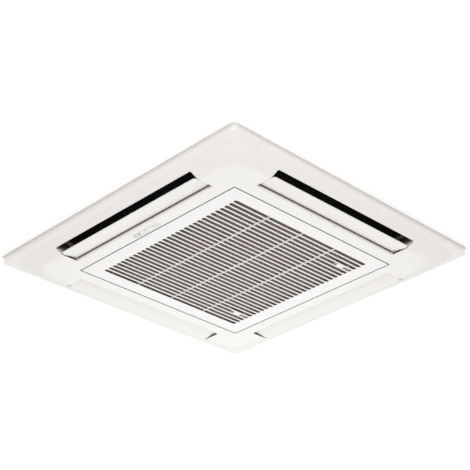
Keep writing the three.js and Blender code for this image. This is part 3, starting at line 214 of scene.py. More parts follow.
def square_ring(outer: float, inner: float, z: Sequence[float], radius: float) -> Surface:
    """A closed square ring with round corners, between two half-sizes and two heights."""
    loops = [(outer, z[0]), (outer, z[1]), (inner, z[1]), (inner, z[0]), (outer, z[0])]
    return grid(np.stack([lifted(round_square(half, radius), height) for half, height in loops]), closed=True)


def circle(radius: float, at: Sequence[float], count: int) -> np.ndarray:
    """Points round a circle in a plane: centre + radius (cos a, sin a)."""
    return np.array(at) + polar(radius, full_turn(count))


def revolve(profile: np.ndarray, count: int = 96) -> Surface:
    """A closed loop of points (r, z) turned round the vertical axis: (r cos a, r sin a, z)."""
    loop = np.vstack([profile, profile[:1]])
    return grid(lifted(loop[:, None, :1] * polar(1.0, full_turn(count)), loop[:, 1:]), closed=True)


def bent(start: np.ndarray, corner: np.ndarray, end: np.ndarray, steps: int) -> np.ndarray:
    """A soft bend, along a new first axis: (1-t)^2 start + 2t(1-t) corner + t^2 end, t from 0 to 1."""
    t = np.linspace(0.0, 1.0, steps + 1).reshape(-1, *([1] * np.ndim(start)))
    return (1 - t) ** 2 * start + 2 * t * (1 - t) * corner + t**2 * end


def softened(points: Sequence[Sequence[float]], reaches: Sequence[float], steps: int) -> np.ndarray:
    """A broken line with each inner corner bent over a reach on either side of it.

    Args:
        points: the corners of the line.
        reaches: the reach at each inner corner.
        steps: steps of each bend.

    Returns:
        The points of the softened line.
    """
    corners = np.array(points, float)
    parts = [corners[:1]]
    for before, corner, after, reach in zip(corners[:-2], corners[1:-1], corners[2:], reaches):
        back = (before - corner) / np.linalg.norm(before - corner)
        ahead = (after - corner) / np.linalg.norm(after - corner)
        parts.append(bent(corner + back * reach, corner, corner + ahead * reach, steps))
    return np.vstack([*parts, corners[-1:]])


# ---------------------------------------------------------------- finishes


def new_nodes(tree: bpy.types.NodeTree, *kinds: str) -> list[bpy.types.Node]:
    """New shader nodes of the given kinds."""
    return [tree.nodes.new(f"ShaderNode{kind}") for kind in kinds]


def wire(
    tree: bpy.types.NodeTree, *links: tuple[bpy.types.Node, str | int, bpy.types.Node, str | int],
) -> None:
    """Links nodes, each link being a node, its output, the next node and its input."""
    for source, output, target, socket in links:
        tree.links.new(source.outputs[output], target.inputs[socket])


def preset(node: bpy.types.Node, values: dict[str | int, float | Sequence[float]]) -> None:
    """Sets inputs of a node, by name or number."""
    for name, value in values.items():
        node.inputs[name].default_value = value


class Grain(Enum):
    """The fine relief of a finish, or painted shade in its colour."""

    MOULDED = "moulded"
    FOAM = "foam"
    SPANGLE = "spangle"
    BRUSHED = "brushed"
    FINNED = "finned"
    PLAIN = "plain"
    # painted shade: the colour darkens with height
    PAINTED_SHADE = "painted_shade"


GRAIN_SCALES = {
    Grain.MOULDED: (900.0, 900.0, 900.0),
    Grain.FOAM: (420.0, 420.0, 420.0),
    Grain.SPANGLE: (130.0, 130.0, 130.0),
    Grain.BRUSHED: (40.0, 900.0, 900.0),
    Grain.FINNED: (520.0, 520.0, 3.0),
}
BUMP_DEPTH = 0.0004
TINT_STOPS = (0.3, 0.7)


@dataclass(frozen=True)
class Finish:
    """A finish and how to make its material.

    Args:
        slot: the record's material slot.
        colour: linear red, green and blue.
        roughness: roughness of the shader.
        metallic: 1 for bare metal.
        grain: the kind of relief, or painted shade that darkens the colour with height.
        relief: strength of the relief.
        tint: how much the colour wanders, from 0 to 1.
        label: name of the material, or nothing for one made from the slot and the grain.
    """

    slot: str
    colour: tuple[float, float, float]
    roughness: float
    metallic: float = 0.0
    grain: Grain = Grain.MOULDED
    relief: float = 0.1
    tint: float = 0.0
    label: str = ""

    def material(self) -> bpy.types.Material:
        """The Blender material of this finish, made once.

        Returns:
            The material.
        """
        name = self.label or f"{self.slot}_{self.grain.value}"
        if name in bpy.data.materials:
            return bpy.data.materials[name]
        made = bpy.data.materials.new(name)
        made.use_nodes = True
        made.diffuse_color = (*self.colour, 1.0)
        tree = made.node_tree
        shader = tree.nodes["Principled BSDF"]
        preset(shader, {
            "Base Color": (*self.colour, 1.0), "Roughness": self.roughness, "Metallic": self.metallic,
        })
        # painted shade that darkens the colour with height
        if self.grain is Grain.PAINTED_SHADE:
            self._add_painted_shade(tree, shader)
        elif self.grain is not Grain.PLAIN:
            self._add_grain(tree, shader)
        return made

    def _add_ramp(
        self, tree: bpy.types.NodeTree, shader: bpy.types.Node, value: tuple[bpy.types.Node, str],
        stops: Sequence[tuple[float, float]],
    ) -> None:
        """Lets a value lighten or darken the colour.

        Args:
            tree: the material's nodes.
            shader: its Principled shader.
            value: the node and output that the colour follows.
            stops: two values, each with the factor that the colour has there.
        """
        (ramp,) = new_nodes(tree, "ValToRGB")
        for element, (at, factor) in zip(ramp.color_ramp.elements, stops):
            element.position = at
            element.color = (*(min(1.0, factor * c) for c in self.colour), 1.0)
        wire(tree, (*value, ramp, "Fac"), (ramp, "Color", shader, "Base Color"))

    def _add_painted_shade(self, tree: bpy.types.NodeTree, shader: bpy.types.Node) -> None:
        """Paints shade into the colour: darker with height, up into the mouth of an outlet.

        Args:
            tree: the material's nodes.
            shader: its Principled shader.
        """
        place, split, reach = new_nodes(tree, "TexCoord", "SeparateXYZ", "MapRange")
        preset(reach, {"From Min": PAINTED_SHADE_HEIGHTS[0] * MM, "From Max": PAINTED_SHADE_HEIGHTS[1] * MM})
        wire(tree, (place, "Object", split, "Vector"), (split, "Z", reach, "Value"))
        self._add_ramp(tree, shader, (reach, "Result"), ((0.0, 1.0), (1.0, PAINTED_SHADE_END)))

    def _add_grain(self, tree: bpy.types.NodeTree, shader: bpy.types.Node) -> None:
        """Links a pattern on Object coordinates to the shader's normal and colour.

        Args:
            tree: the material's nodes.
            shader: its Principled shader.
        """
        spangled = self.grain is Grain.SPANGLE
        kinds = ("TexCoord", "Mapping", "TexVoronoi" if spangled else "TexNoise", "Bump")
        place, mapping, pattern, bump = new_nodes(tree, *kinds)
        preset(mapping, {"Scale": GRAIN_SCALES[self.grain]})
        preset(pattern, {"Scale": 1.0} if spangled else {"Scale": 1.0, "Detail": 2.0})
        preset(bump, {"Strength": self.relief, "Distance": BUMP_DEPTH})
        value = (pattern, "Color" if spangled else "Fac")
        wire(
            tree, (place, "Object", mapping, "Vector"), (mapping, "Vector", pattern, "Vector"),
            (*value, bump, "Height"), (bump, "Normal", shader, "Normal"),
        )
        if self.tint > 0.0:
            factors = (1.0 - self.tint, 1.0 + 0.5 * self.tint)
            self._add_ramp(tree, shader, value, tuple(zip(TINT_STOPS, factors)))


FASCIA = Finish("fascia", (0.870, 0.842, 0.812), 0.42, relief=0.03)
GRILLE = Finish("fascia", (0.885, 0.868, 0.855), 0.42, relief=0.03, label="grille_white")
VANE = Finish("vane", (0.852, 0.822, 0.786), 0.42, relief=0.03)
# near-black rings in the seam round the grille: painted shade of the gap
SEAM_SHADE = Finish("dark_foam", (0.012, 0.011, 0.011), 0.80, grain=Grain.PLAIN)
# end walls of the outlets, with painted shade that deepens upwards
SHADED_CHEEK = Finish("fascia", (0.860, 0.830, 0.800), 0.60, grain=Grain.PAINTED_SHADE, label="cheek_painted_shade")
DARK_FOAM = Finish("dark_foam", (0.034, 0.029, 0.027), 0.95, grain=Grain.FOAM, relief=0.5, tint=0.25)
# the outlet ducts: a much lighter copy of the dark foam, painted light in the shaded ducts seen past the
# vanes
LIT_DUCT_FOAM = Finish(
    "dark_foam", (0.420, 0.365, 0.335), 0.95, grain=Grain.FOAM, relief=0.5, tint=0.25, label="duct_foam_painted_light",
)
PAN_FOAM = Finish("pan_foam", (0.030, 0.030, 0.031), 0.85, grain=Grain.FOAM, relief=0.4, tint=0.10)
STEEL = Finish("steel", (0.58, 0.59, 0.60), 0.34, 1.0, Grain.BRUSHED, 0.15)
SHEET = Finish("sheet_steel", (0.46, 0.47, 0.48), 0.62, 0.55, Grain.SPANGLE, 0.06, tint=0.06)
LENS = Finish("lens", (0.866, 0.842, 0.818), 0.25, grain=Grain.PLAIN)
LAMP_DARK = Finish("dark_plastic", (0.070, 0.066, 0.064), 0.20, grain=Grain.PLAIN)
LAMP_PALE = Finish("lens", (0.26, 0.25, 0.25), 0.20, grain=Grain.PLAIN, label="lens_grey")
WHITE_PLASTIC = Finish("white_plastic", (0.82, 0.82, 0.80), 0.40, relief=0.05)
# the latches' tongues: white plastic painted darker, as painted shade where they lie behind the slots
SHADED_TONGUE = Finish("white_plastic", (0.400, 0.350, 0.320), 0.50, relief=0.05, label="tongue_painted_shade")
DARK_PLASTIC = Finish("dark_plastic", (0.018, 0.018, 0.019), 0.55, relief=0.12)
NET = Finish("net", (0.290, 0.228, 0.205), 0.70, grain=Grain.PLAIN)
# a ring paler than the net: painted light on the net and frame in the shade of the grille's border
LIT_HEM = Finish("net", (0.360, 0.285, 0.255), 0.70, grain=Grain.PLAIN, label="hem_painted_light")
FILTER = Finish("dark_plastic", (0.175, 0.138, 0.125), 0.60, relief=0.05, label="filter_brown")
FINS = Finish("fins", (0.70, 0.71, 0.72), 0.35, 1.0, Grain.FINNED, 0.9, tint=0.35)
COPPER = Finish("copper", (0.72, 0.33, 0.18), 0.30, 1.0, Grain.BRUSHED, 0.08)
BRASS = Finish("brass", (0.68, 0.50, 0.22), 0.30, 1.0, Grain.BRUSHED, 0.08)

FINISHES = {
    finish.slot: finish
    for finish in (
        FASCIA, VANE, DARK_FOAM, PAN_FOAM, STEEL, SHEET, LENS, WHITE_PLASTIC, DARK_PLASTIC, NET, FINS,
        COPPER, BRASS,
    )
}


# ---------------------------------------------------------------- pieces


def smooth_by_angle(mesh: bpy.types.Mesh, degrees: float) -> None:
    """Shades a mesh smooth, except at edges sharper than an angle."""
    mesh.polygons.foreach_set("use_smooth", np.ones(len(mesh.polygons), bool))
    mesh.set_sharp_from_angle(angle=math.radians(degrees))


def make_mesh(name: str, surface: Surface, closed: bool) -> bpy.types.Mesh:
    """A Blender mesh in metres from a surface, with meeting points merged.

    Args:
        name: name of the mesh.
        surface: the surface in millimetres.
        closed: whether its bodies are closed, so that their faces can be turned outwards.

    Returns:
        The mesh.
    """
    corners = np.concatenate([face.ravel() for face in surface.faces]).astype(np.int32)
    sizes = np.concatenate([np.full(len(face), face.shape[1]) for face in surface.faces])
    starts = np.concatenate([[0], np.cumsum(sizes)[:-1]]).astype(np.int32)
    mesh = bpy.data.meshes.new(name)
    mesh.vertices.add(len(surface.points))
    mesh.vertices.foreach_set("co", (surface.points * MM).astype(np.float32).ravel())
    mesh.loops.add(len(corners))
    mesh.loops.foreach_set("vertex_index", corners)
    mesh.polygons.add(len(sizes))
    mesh.polygons.foreach_set("loop_start", starts)
    mesh.update(calc_edges=True)
    mesh.validate()
    work = bmesh.new()
    work.from_mesh(mesh)
    bmesh.ops.remove_doubles(work, verts=work.verts, dist=MERGE)
    bmesh.ops.dissolve_degenerate(work, dist=MERGE / 10, edges=work.edges)
    if closed:
        bmesh.ops.recalc_face_normals(work, faces=work.faces)
    work.to_mesh(mesh)
    work.free()
    return mesh


def add_bevel(thing: bpy.types.Object, width: float, segments: int = 2) -> None:
    """Softens the sharp edges of a piece.

    Args:
        thing: the piece.
        width: width of the bevel in millimetres.
        segments: steps across it.
    """
    bevel = thing.modifiers.new("soft_edges", "BEVEL")
    bevel.width = width * MM
    bevel.segments = segments
    bevel.limit_method = "ANGLE"
    bevel.angle_limit = math.radians(SHARP_ANGLE)


def place(mesh: bpy.types.Mesh, body: str, finish: Finish, nodes: Iterable[str] = ()) -> bpy.types.Object:
    """Puts a mesh in the scene as a piece that rides on a body.

    Args:
        mesh: the mesh, in place.
        body: the CAD body that carries it.
        finish: its finish.
        nodes: the CAD nodes that it stands for.

    Returns:
        The new object.
    """
    thing = bpy.data.objects.new(mesh.name, mesh)
    bpy.context.scene.collection.objects.link(thing)
    mesh.materials.clear()
    mesh.materials.append(finish.material())
    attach(thing, body)
    if nodes:
        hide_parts(*nodes)
    log.info("%s rides on %s, %d faces", thing.name, body, len(mesh.polygons))
    return thing


def piece(
    name: str, surface: Surface, body: str, finish: Finish, nodes: Iterable[str] = (), *,
    closed: bool = True, smooth: float | None = None,
) -> bpy.types.Object:
    """Makes a new piece from a surface.

    Args:
        name: its name.
        surface: its surface in millimetres.
        body: the CAD body that carries it.
        finish: its finish.
        nodes: the CAD nodes that it stands for.
        closed: whether its bodies are closed.
        smooth: the angle up to which it is shaded smooth, or None for flat faces.

    Returns:
        The new object.
    """
    mesh = make_mesh(name, surface, closed)
    if smooth is not None:
        smooth_by_angle(mesh, smooth)
    return place(mesh, body, finish, nodes)


def softened_copy(
    node: str, cad: bpy.types.Object, body: str, finish: Finish, width: float,
) -> bpy.types.Object:
    """A copy of a CAD node with merged points, flat faces joined up and softened edges.

    Args:
        node: the CAD node.
        cad: its object.
        body: the body that carries it.
        finish: its finish.
        width: width of the softened edges in millimetres.

    Returns:
        The piece that stands for the node.
    """
    mesh = cad.data.copy()
    mesh.name = f"{node}_soft"
    work = bmesh.new()
    work.from_mesh(mesh)
    bmesh.ops.remove_doubles(work, verts=work.verts, dist=2 * MERGE)
    bmesh.ops.dissolve_limit(
        work, angle_limit=math.radians(FLAT_ANGLE), verts=work.verts, edges=work.edges,
        use_dissolve_boundaries=False,
    )
    work.to_mesh(mesh)
    work.free()
    smooth_by_angle(mesh, SHARP_ANGLE)
    thing = place(mesh, body, finish, [node])
    add_bevel(thing, width)
    return thing


# ---------------------------------------------------------------- fascia


@dataclass
class Fascia:
    """The moulded panel: rim, flange, curved shoulder, flat field and four outlets with soft lips.

    Sizes are in millimetres; "half" is a distance from the middle of the panel. Pairs of the mouth and its
    lips are the inner and the outer one. A blur is half of a window's width and how far it reaches, and the
    outlines of cheek, shade strip and ribs are distances from the middle against heights. Cheeks and shade
    strips paint the shade at the outlets' ends. The receiver's window is its two distances from the middle
    and its two places along the side.
    """

    panel_half: float = 475.0
    rim_height: float = 21.8
    rim_round: float = 3.0
    rim_land: float = 9.0
    flange_half: float = 453.0
    flange_depth: float = 24.0
    field_half: float = 407.0
    shoulder_steep: float = 1.45
    shoulder_points: int = 41
    line_points: int = 1400
    line_past_well: float = 5.0
    rim_corner: float = 16.0
    flange_corner: float = 58.0
    field_corner: float = 60.0
    foot_blur: tuple[float, float] = (8.0, 16.0)
    brow_blur: tuple[float, float] = (3.0, 7.0)
    well_half: float = 314.7
    well_corner: float = 3.0
    wall: float = 2.6
    flange_rows: tuple[float, ...] = (462.0, 458.0, 455.5, 453.0, 450.5, 448.0, 444.0)
    band_rows: tuple[float, ...] = (343.0, 328.0, 317.5)
    mouth: tuple[float, float] = (356.0, 435.0)
    mouth_middle: tuple[float, ...] = (425.0, 420.0, 415.0, 411.0, 407.0, 403.0, 398.0, 390.0, 380.0, 370.0)
    mouth_half_length: float = 276.0
    mouth_corner: float = 4.0
    mouth_margin: float = 6.0
    mouth_slopes: tuple[float, float] = (10.0 / 49.5, 28.0 / 37.5)
    mouth_crowd: tuple[float, ...] = (0.0, 2.0, 4.0, 6.0, 8.0)
    end_crowd: tuple[float, ...] = (0.0, 2.0, 4.0, 6.0, 8.0, 12.0)
    plain_from: float = 22.0
    plain_columns: int = 23
    lip_rounds: tuple[float, float] = (4.4, 0.7)
    lip_depths: tuple[float, float] = (5.0, 12.0)
    cheek: tuple[tuple[float, float], ...] = (
        (357.5, -48.7), (409.0, -48.7), (416.0, -45.6), (423.0, -42.5), (432.0, -37.6), (411.0, -11.0),
        (349.5, -11.0),
    )
    # outline of the near-black strips on the outlets' end walls: painted shadow of the vanes' ends
    shade_strip: tuple[tuple[float, float], ...] = (
        (357.6, -48.6), (408.0, -48.6), (412.0, -46.8), (412.0, -43.5), (357.6, -43.5),
    )
    cheek_inset: float = 0.6
    shade_strip_inset: float = 0.7
    end_plate_thick: float = 0.4
    back_strip: tuple[float, float] = (464.0, 474.0)
    back_thick: float = 2.0
    band_rib: tuple[tuple[float, float], ...] = (
        (317.2, -46.9), (342.6, -46.9), (342.6, -14.0), (317.2, -14.0),
    )
    band_rib_at: tuple[float, ...] = (-150.0, 150.0)
    rim_rib: tuple[tuple[float, float], ...] = (
        (441.0, -33.0), (441.0, -4.0), (472.5, -4.0), (472.5, -19.0), (453.0, -21.4),
    )
    rim_rib_at: tuple[float, ...] = (-180.0, 0.0, 180.0)
    rib_reach: float = 1.0
    # the near-black ring that paints the seam's shade, as steps out from the well's edge
    seam_shade: tuple[float, float] = (0.4, -0.12)
    smooth: float = 40.0
    receiver: tuple[float, float, float, float] = (321.0, 336.0, -62.0, 28.0)
    receiver_side: int = 2
    line: np.ndarray = field(init=False, repr=False)

    def __post_init__(self) -> None:
        """Works out the line of the panel's lower face, half against height."""
        u = np.linspace(0.0, 1.0, self.shoulder_points)
        steep, drop = self.shoulder_steep, FIELD_DEPTH - self.flange_depth
        half = self.flange_half - (self.flange_half - self.field_half) * u
        height = -self.flange_depth - drop * (steep * u - (steep - 1.0) * u**2)
        rim = [self.panel_half - self.rim_round, -self.rim_height]
        sharp = np.vstack([rim, spread(half, height), [self.well_half - self.line_past_well, -FIELD_DEPTH]])
        dense = np.linspace(sharp[-1, 0], sharp[0, 0], self.line_points)
        self.line = spread(dense, self._blurred(dense, np.interp(dense, sharp[::-1, 0], sharp[::-1, 1])))

    def _blurred(self, half: np.ndarray, height: np.ndarray) -> np.ndarray:
        """The line with its two corners rounded.

        Each height becomes the mean of the line over a window that is wide at the foot of the shoulder,
        narrower at the flange and zero elsewhere, which rounds a corner and leaves a straight line as it is.

        Args:
            half: distances from the middle, evenly spaced.
            height: the sharp line's heights.

        Returns:
            The rounded heights.
        """
        total = np.concatenate([[0.0], np.cumsum(0.5 * (height[1:] + height[:-1]) * np.diff(half))])
        window = np.maximum(*(
            width * np.clip(1.0 - np.abs(half - middle) / reach, 0.0, 1.0)
            for middle, (width, reach) in (
                (self.field_half, self.foot_blur), (self.flange_half, self.brow_blur),
            )
        ))
        low, high = (np.clip(half + sign * window, half[0], half[-1]) for sign in SIGNS)
        mean = (np.interp(high, half, total) - np.interp(low, half, total)) / np.maximum(high - low, 1e-9)
        return np.where(window > 1e-3, mean, height)

    def height_at(self, half: np.ndarray | float) -> np.ndarray:
        """Height of the lower face at distances from the middle."""
        return np.interp(half, self.line[:, 0], self.line[:, 1])

    def corner_at(self, half: np.ndarray) -> np.ndarray:
        """Corner radius of the level at each distance from the middle.

        Args:
            half: the distances.

        Returns:
            The radii, straight from one known level to the next.
        """
        known = [self.well_half, self.field_half, self.flange_half, self.panel_half - self.rim_round]
        radii = [self.well_corner, self.field_corner, self.flange_corner, self.rim_corner]
        return np.interp(half, known, radii)

    def mouth_rows(self) -> np.ndarray:
        """Distances from the middle of the rows that cross an outlet, outer to inner.

        Returns:
            Rows that crowd together near the two lips.
        """
        inner, outer = self.mouth[0] - self.mouth_margin, self.mouth[1] + self.mouth_margin
        crowd = np.array(self.mouth_crowd)
        return np.concatenate([outer - crowd, self.mouth_middle, (inner + crowd)[::-1]])

    def mouth_columns(self) -> np.ndarray:
        """Places along an outlet of the columns that cross it.

        Returns:
            Columns that crowd together near its ends, with two at the ends of the receiver's window.
        """
        end = self.mouth_half_length + self.mouth_margin
        crowd, plain = np.array(self.end_crowd), end - self.plain_from
        middle = np.linspace(-plain, plain, self.plain_columns)
        return np.unique(np.round([*(-end + crowd), *middle, *self.receiver[2:], *(end - crowd)], 4))

    def section(self) -> tuple[np.ndarray, np.ndarray]:
        """Rows of the skin from the back of the rim to the edge of the well.

        Returns:
            Distances from the middle, and heights.
        """
        edge, well, bottom = self.panel_half, self.well_half, -FIELD_DEPTH
        land = edge - self.rim_land
        corners = [[edge, 0.0], [edge, -self.rim_height], [land, self.height_at(land)]]
        rim = softened(corners, [self.rim_round], 6)
        band = np.sort([*self.band_rows, *self.receiver[:2]])[::-1]
        rows = np.array([*self.flange_rows, *self.mouth_rows(), *band])
        lip = softened([[well + 2.0, bottom], [well, bottom], [well, bottom + self.wall]], [0.2], 3)
        whole = np.vstack([rim, spread(rows, self.height_at(rows)), lip])
        return whole[:, 0], whole[:, 1]

    def quarter(self, side: int) -> Surface:
        """One quarter of the skin, between two diagonals, before it is turned into place.

        A row is a square of half-size h with corner radius c. Its points run along y at x = h, and past
        h - c round the corner: (h - c + c cos a, h - c + c sin a) with a up to 45 degrees.

        Args:
            side: which side it is for, because one side has the receiver's window.

        Returns:
            The quarter with its outlet's lips.
        """
        half, height = self.section()
        columns = self.mouth_columns()
        corner = self.corner_at(half)[:, None]
        straight = half[:, None] - corner
        upper = columns[-1] + (straight - columns[-1]) * np.linspace(0.0, 1.0, 5)[1:]
        arc = straight[..., None] + polar(corner, np.radians(np.linspace(0.0, 45.0, 7)[1:]))
        flat = spread(half[:, None], np.hstack([-upper[:, ::-1], np.tile(columns, (len(half), 1)), upper]))
        plan = np.hstack([arc[:, ::-1] * [1.0, -1.0], flat, arc])
        middle_x = (half[1:] + half[:-1])[:, None] / 2
        middle_y = (plan[:-1, 1:, 1] + plan[:-1, :-1, 1]) / 2
        inner, outer = self.mouth[0] - self.mouth_margin, self.mouth[1] + self.mouth_margin
        reach = self.mouth_half_length + self.mouth_margin
        cut = (middle_x > inner) & (middle_x < outer) & (np.abs(middle_y) < reach)
        if side == self.receiver_side:
            x0, x1, y0, y1 = self.receiver
            cut |= (middle_x > x0) & (middle_x < x1) & (middle_y > y0) & (middle_y < y1)
        return join(grid(lifted(plan, height[:, None]), keep=~cut), self.lips())

    def on_face(self, plan: np.ndarray) -> np.ndarray:
        """Plan points lifted to the height of the lower face."""
        return lifted(plan, self.height_at(plan[:, 0]))

    def lips(self) -> Surface:
        """The edge of one outlet: a band on the face, a round lip and a wall that turns up.

        A point q of the grid's hole has the nearest point c of the outlet's inner rectangle; the lip lies
        at c + radius (q - c) / |q - c|, at the height of the face there. Its rounding is large on the inner
        side, which faces out, and small elsewhere.

        Returns:
            The band, lip and wall as one strip.
        """
        rows, columns = self.mouth_rows(), self.mouth_columns()
        right, top = spread(rows[0], columns), spread(rows, columns[-1])
        hole = np.vstack([right[:-1], top[:-1], -right[:-1] + [rows[0] + rows[-1], 0], top[:0:-1] * [1, -1]])
        radius, (inner, outer) = self.mouth_corner, self.mouth
        end = self.mouth_half_length - radius
        core = np.clip(hole, [inner + radius, -end], [outer - radius, end])
        away = (hole - core) / np.linalg.norm(hole - core, axis=1, keepdims=True)
        edge = self.on_face(core + radius * away)
        share = np.clip((edge[:, 0] - inner) / (outer - inner), 0.0, 1.0)
        slope = self.mouth_slopes[0] * (1 - share) + self.mouth_slopes[1] * share
        up = spread(-slope, 0.0, 1.0)
        large, small = self.lip_rounds
        reach = small + (large - small) * np.clip(-away[:, :1], 0.0, 1.0)
        bend = bent(self.on_face(core + (radius + reach) * away), edge, edge + up * reach, 5)
        walls = [edge + up * depth for depth in self.lip_depths]
        return grid(np.concatenate([[self.on_face(hole)], bend, walls]), closed=True)

    def back(self) -> Surface:
        """The flat back edge and the stiffening ribs behind the skin.

        Returns:
            All of them as one surface.
        """
        (land, edge), z = self.back_strip, [-self.back_thick, 0.0]
        strips = [box(mirrored(sign, land, edge), [-edge, edge], z) for sign in SIGNS]
        strips += [box([-land, land], mirrored(sign, land, edge), z) for sign in SIGNS]
        ribs = [
            along_y(np.array(outline), [y - self.rib_reach, y + self.rib_reach])
            for outline, places in ((self.band_rib, self.band_rib_at), (self.rim_rib, self.rim_rib_at))
            for y in places
        ]
        return join(*strips, join(*ribs).on_four_sides())

    def end_plates(self, outline: Sequence[Sequence[float]], inset: float) -> Surface:
        """Thin plates on the end walls of the four outlets, which carry painted shade there.

        Args:
            outline: their outline, distance from the middle of the panel against height.
            inset: how far inside the outlet's ends their faces are.

        Returns:
            The eight plates.
        """
        near = self.mouth_half_length - inset
        far, shape = near + self.end_plate_thick, np.array(outline)
        return join(*(along_y(shape, mirrored(sign, near, far)) for sign in SIGNS)).on_four_sides()

    def build(self) -> None:
        """Makes the skin with its wall thickness, the back, the outlets' ends and the seam's painted-shade
        ring.
        """
        skin = join(*(self.quarter(k).turned(90.0 * k) for k in range(4)))
        thing = piece(
            "fascia_skin", skin, "cassette", FASCIA, ["fascia_panel"], closed=False, smooth=self.smooth,
        )
        wall = thing.modifiers.new("wall", "SOLIDIFY")
        wall.thickness = self.wall * MM
        wall.offset = -1.0
        wall.use_even_offset = True
        # a near-black ring on the well's edge: painted shade in the seam
        outer, inner = (self.well_half + step for step in self.seam_shade)
        seam_shade = square_ring(outer, inner, SEAM_SHADE_HEIGHTS, self.well_corner)
        for name, surface, finish in (
            ("fascia_back", self.back(), FASCIA),
            # end plates whose colour darkens upwards: painted shade in the outlets' ends
            ("outlet_cheek_shade", self.end_plates(self.cheek, self.cheek_inset), SHADED_CHEEK),
            # near-black end strips: painted shadow of the vanes' ends on the end walls
            ("outlet_shade_strips", self.end_plates(self.shade_strip, self.shade_strip_inset), SEAM_SHADE),
            ("well_seam_shade", seam_shade, SEAM_SHADE),
        ):
            piece(name, surface, "cassette", finish)


# ---------------------------------------------------------------- vanes


@dataclass
class Vane:
    """A curved air vane with round corners, its end plates, its pin and its boss."""

    start: float = 359.0
    width: float = 58.0
    rise: float = 9.5
    thick: float = 4.0
    half_length: float = 273.2
    corners: tuple[float, float] = (8.0, 18.0)
    outline: tuple[float, float] = (355.0, 421.0)
    pivot: tuple[float, float] = (392.0, -30.0)
    eye_radius: float = 6.0
    pin_radius: float = 3.0
    boss_radius: float = 5.0
    plate_at: float = 262.0
    plate_thick: float = 3.0
    pin_end: float = -278.5
    smooth: float = 40.0
    knots: tuple[tuple[float, float], ...] = (
        (0.0, 1.0), (0.24, 0.71), (0.52, 0.39), (0.76, 0.17), (1.0, 0.08),
    )

    def lower(self, share: np.ndarray) -> np.ndarray:
        """The lower face in section: a smooth curve through the knots.

        Between two knots it is the cubic whose slopes are half the difference of the neighbours.

        Args:
            share: how far across the blade, from 0 to 1.

        Returns:
            x and z at each share.
        """
        knots = np.array(self.knots) * [self.width, self.rise] + [self.start, -FIELD_DEPTH]
        padded = np.vstack([2 * knots[0] - knots[1], knots, 2 * knots[-1] - knots[-2]])
        at = np.interp(share, np.array(self.knots)[:, 0], np.arange(len(knots)))
        i = np.clip(at.astype(int), 0, len(knots) - 2)
        t = (at - i)[..., None]
        p0, p1, p2, p3 = (padded[i + k] for k in range(4))
        square, cube = 2 * p0 - 5 * p1 + 4 * p2 - p3, 3 * p1 - p0 - 3 * p2 + p3
        return 0.5 * (2 * p1 + (p2 - p0) * t + square * t**2 + cube * t**3)

    def loop(self, low: np.ndarray, high: np.ndarray, steps: int = 14) -> np.ndarray:
        """Closed sections of the blade between two shares at each station.

        The upper face is the lower one moved along its normal by thick (0.45 + 0.55 sin(pi share)). Each
        end is a round nose: its tip stands 0.42 of the thickness past the middle, with a point on either
        side of it 0.55 of the way to the tip and a tenth of the thickness further out.

        Args:
            low: the inner end of each station, as a share.
            high: the outer end.
            steps: steps across.

        Returns:
            x and z, shaped (stations, points, 2).
        """
        share = low[:, None] + (high - low)[:, None] * np.linspace(0.0, 1.0, steps + 1)
        below = self.lower(share)
        tangent = self.lower(np.minimum(share + 1e-3, 1.0)) - self.lower(np.maximum(share - 1e-3, 0.0))
        tangent /= np.linalg.norm(tangent, axis=-1, keepdims=True)
        thick = self.thick * (0.45 + 0.55 * np.sin(np.pi * share))[..., None]
        deep = spread(-tangent[..., 1], tangent[..., 0]) * thick
        above = below + deep
        noses = {}
        for at, sign in ((slice(0, 1), -1.0), (slice(-1, None), 1.0)):
            tip = (below + 0.5 * deep + sign * 0.42 * tangent * thick)[:, at]
            under, over = (
                face[:, at] + 0.55 * (tip - face[:, at]) + out * deep[:, at]
                for face, out in ((below, -0.1), (above, 0.1))
            )
            noses[sign] = [under, tip, over]
        return np.concatenate([below, *noses[1.0], above[:, ::-1], *noses[-1.0][::-1]], axis=1)

    def blade(self) -> Surface:
        """The blade: sections along y that draw in at the round corners of the outline.

        Returns:
            The closed blade.
        """
        end = self.half_length
        inner, outer = self.corners
        near = np.array([0.0, 0.15, 0.7, 1.8, 3.5, 6.0, inner, 11.0, 14.0, outer])
        y = np.concatenate([
            -end + near, np.linspace(-end + outer, end - outer, 12)[1:-1], (end - near)[::-1],
        ])

        def draw(radius: float) -> np.ndarray:
            """How far a round corner draws the outline in at each station."""
            into = np.clip(np.abs(y) - (end - radius), 0.0, radius)
            return radius - np.sqrt(np.maximum(radius**2 - into**2, 0.0))

        left = np.maximum(self.outline[0] + draw(inner), self.start)
        right = np.minimum(self.outline[1] - draw(outer), self.start + self.width)
        section = self.loop((left - self.start) / self.width, (right - self.start) / self.width)
        return tube(spread(section[..., 0], y[:, None], section[..., 1]))

    def fittings(self) -> Surface:
        """End plates with a round eye, the middle plate, the rib, the pin and the motor's boss.

        Returns:
            All of them as one surface.
        """
        out, z = self.pivot
        bottom, at = -FIELD_DEPTH, self.plate_at
        plate = np.array([
            [out - 18, bottom + 8], [out - 2, bottom + 5], [out + 14, bottom + 3.5], [out + 4, z - 4],
            [out - 4, z - 4],
        ])
        eye = circle(self.eye_radius, self.pivot, 20)
        plates = [
            along_y(shape, [y, y + self.plate_thick])
            for y in (at - 2.0, -at - 1.0, -1.5) for shape in (plate, eye)
        ]
        rib = box([out - 1, out + 1], [-at, at + 1], [bottom + 5, z - 10])
        pin = along_y(circle(self.pin_radius, self.pivot, 20), [self.pin_end, -at + 1])
        boss = along_y(circle(self.boss_radius, self.pivot, 24), [at - 1, self.half_length + 1])
        return join(*plates, rib, pin, boss)

    def build(self) -> None:
        """Makes the four vanes, one on each side."""
        whole = join(self.blade(), self.fittings())
        for k, side in enumerate(SIDES):
            name = f"vane_{side}"
            piece(f"vane_blade_{side}", whole.turned(90.0 * k), name, VANE, [name], smooth=self.smooth)


# ---------------------------------------------------------------- grille


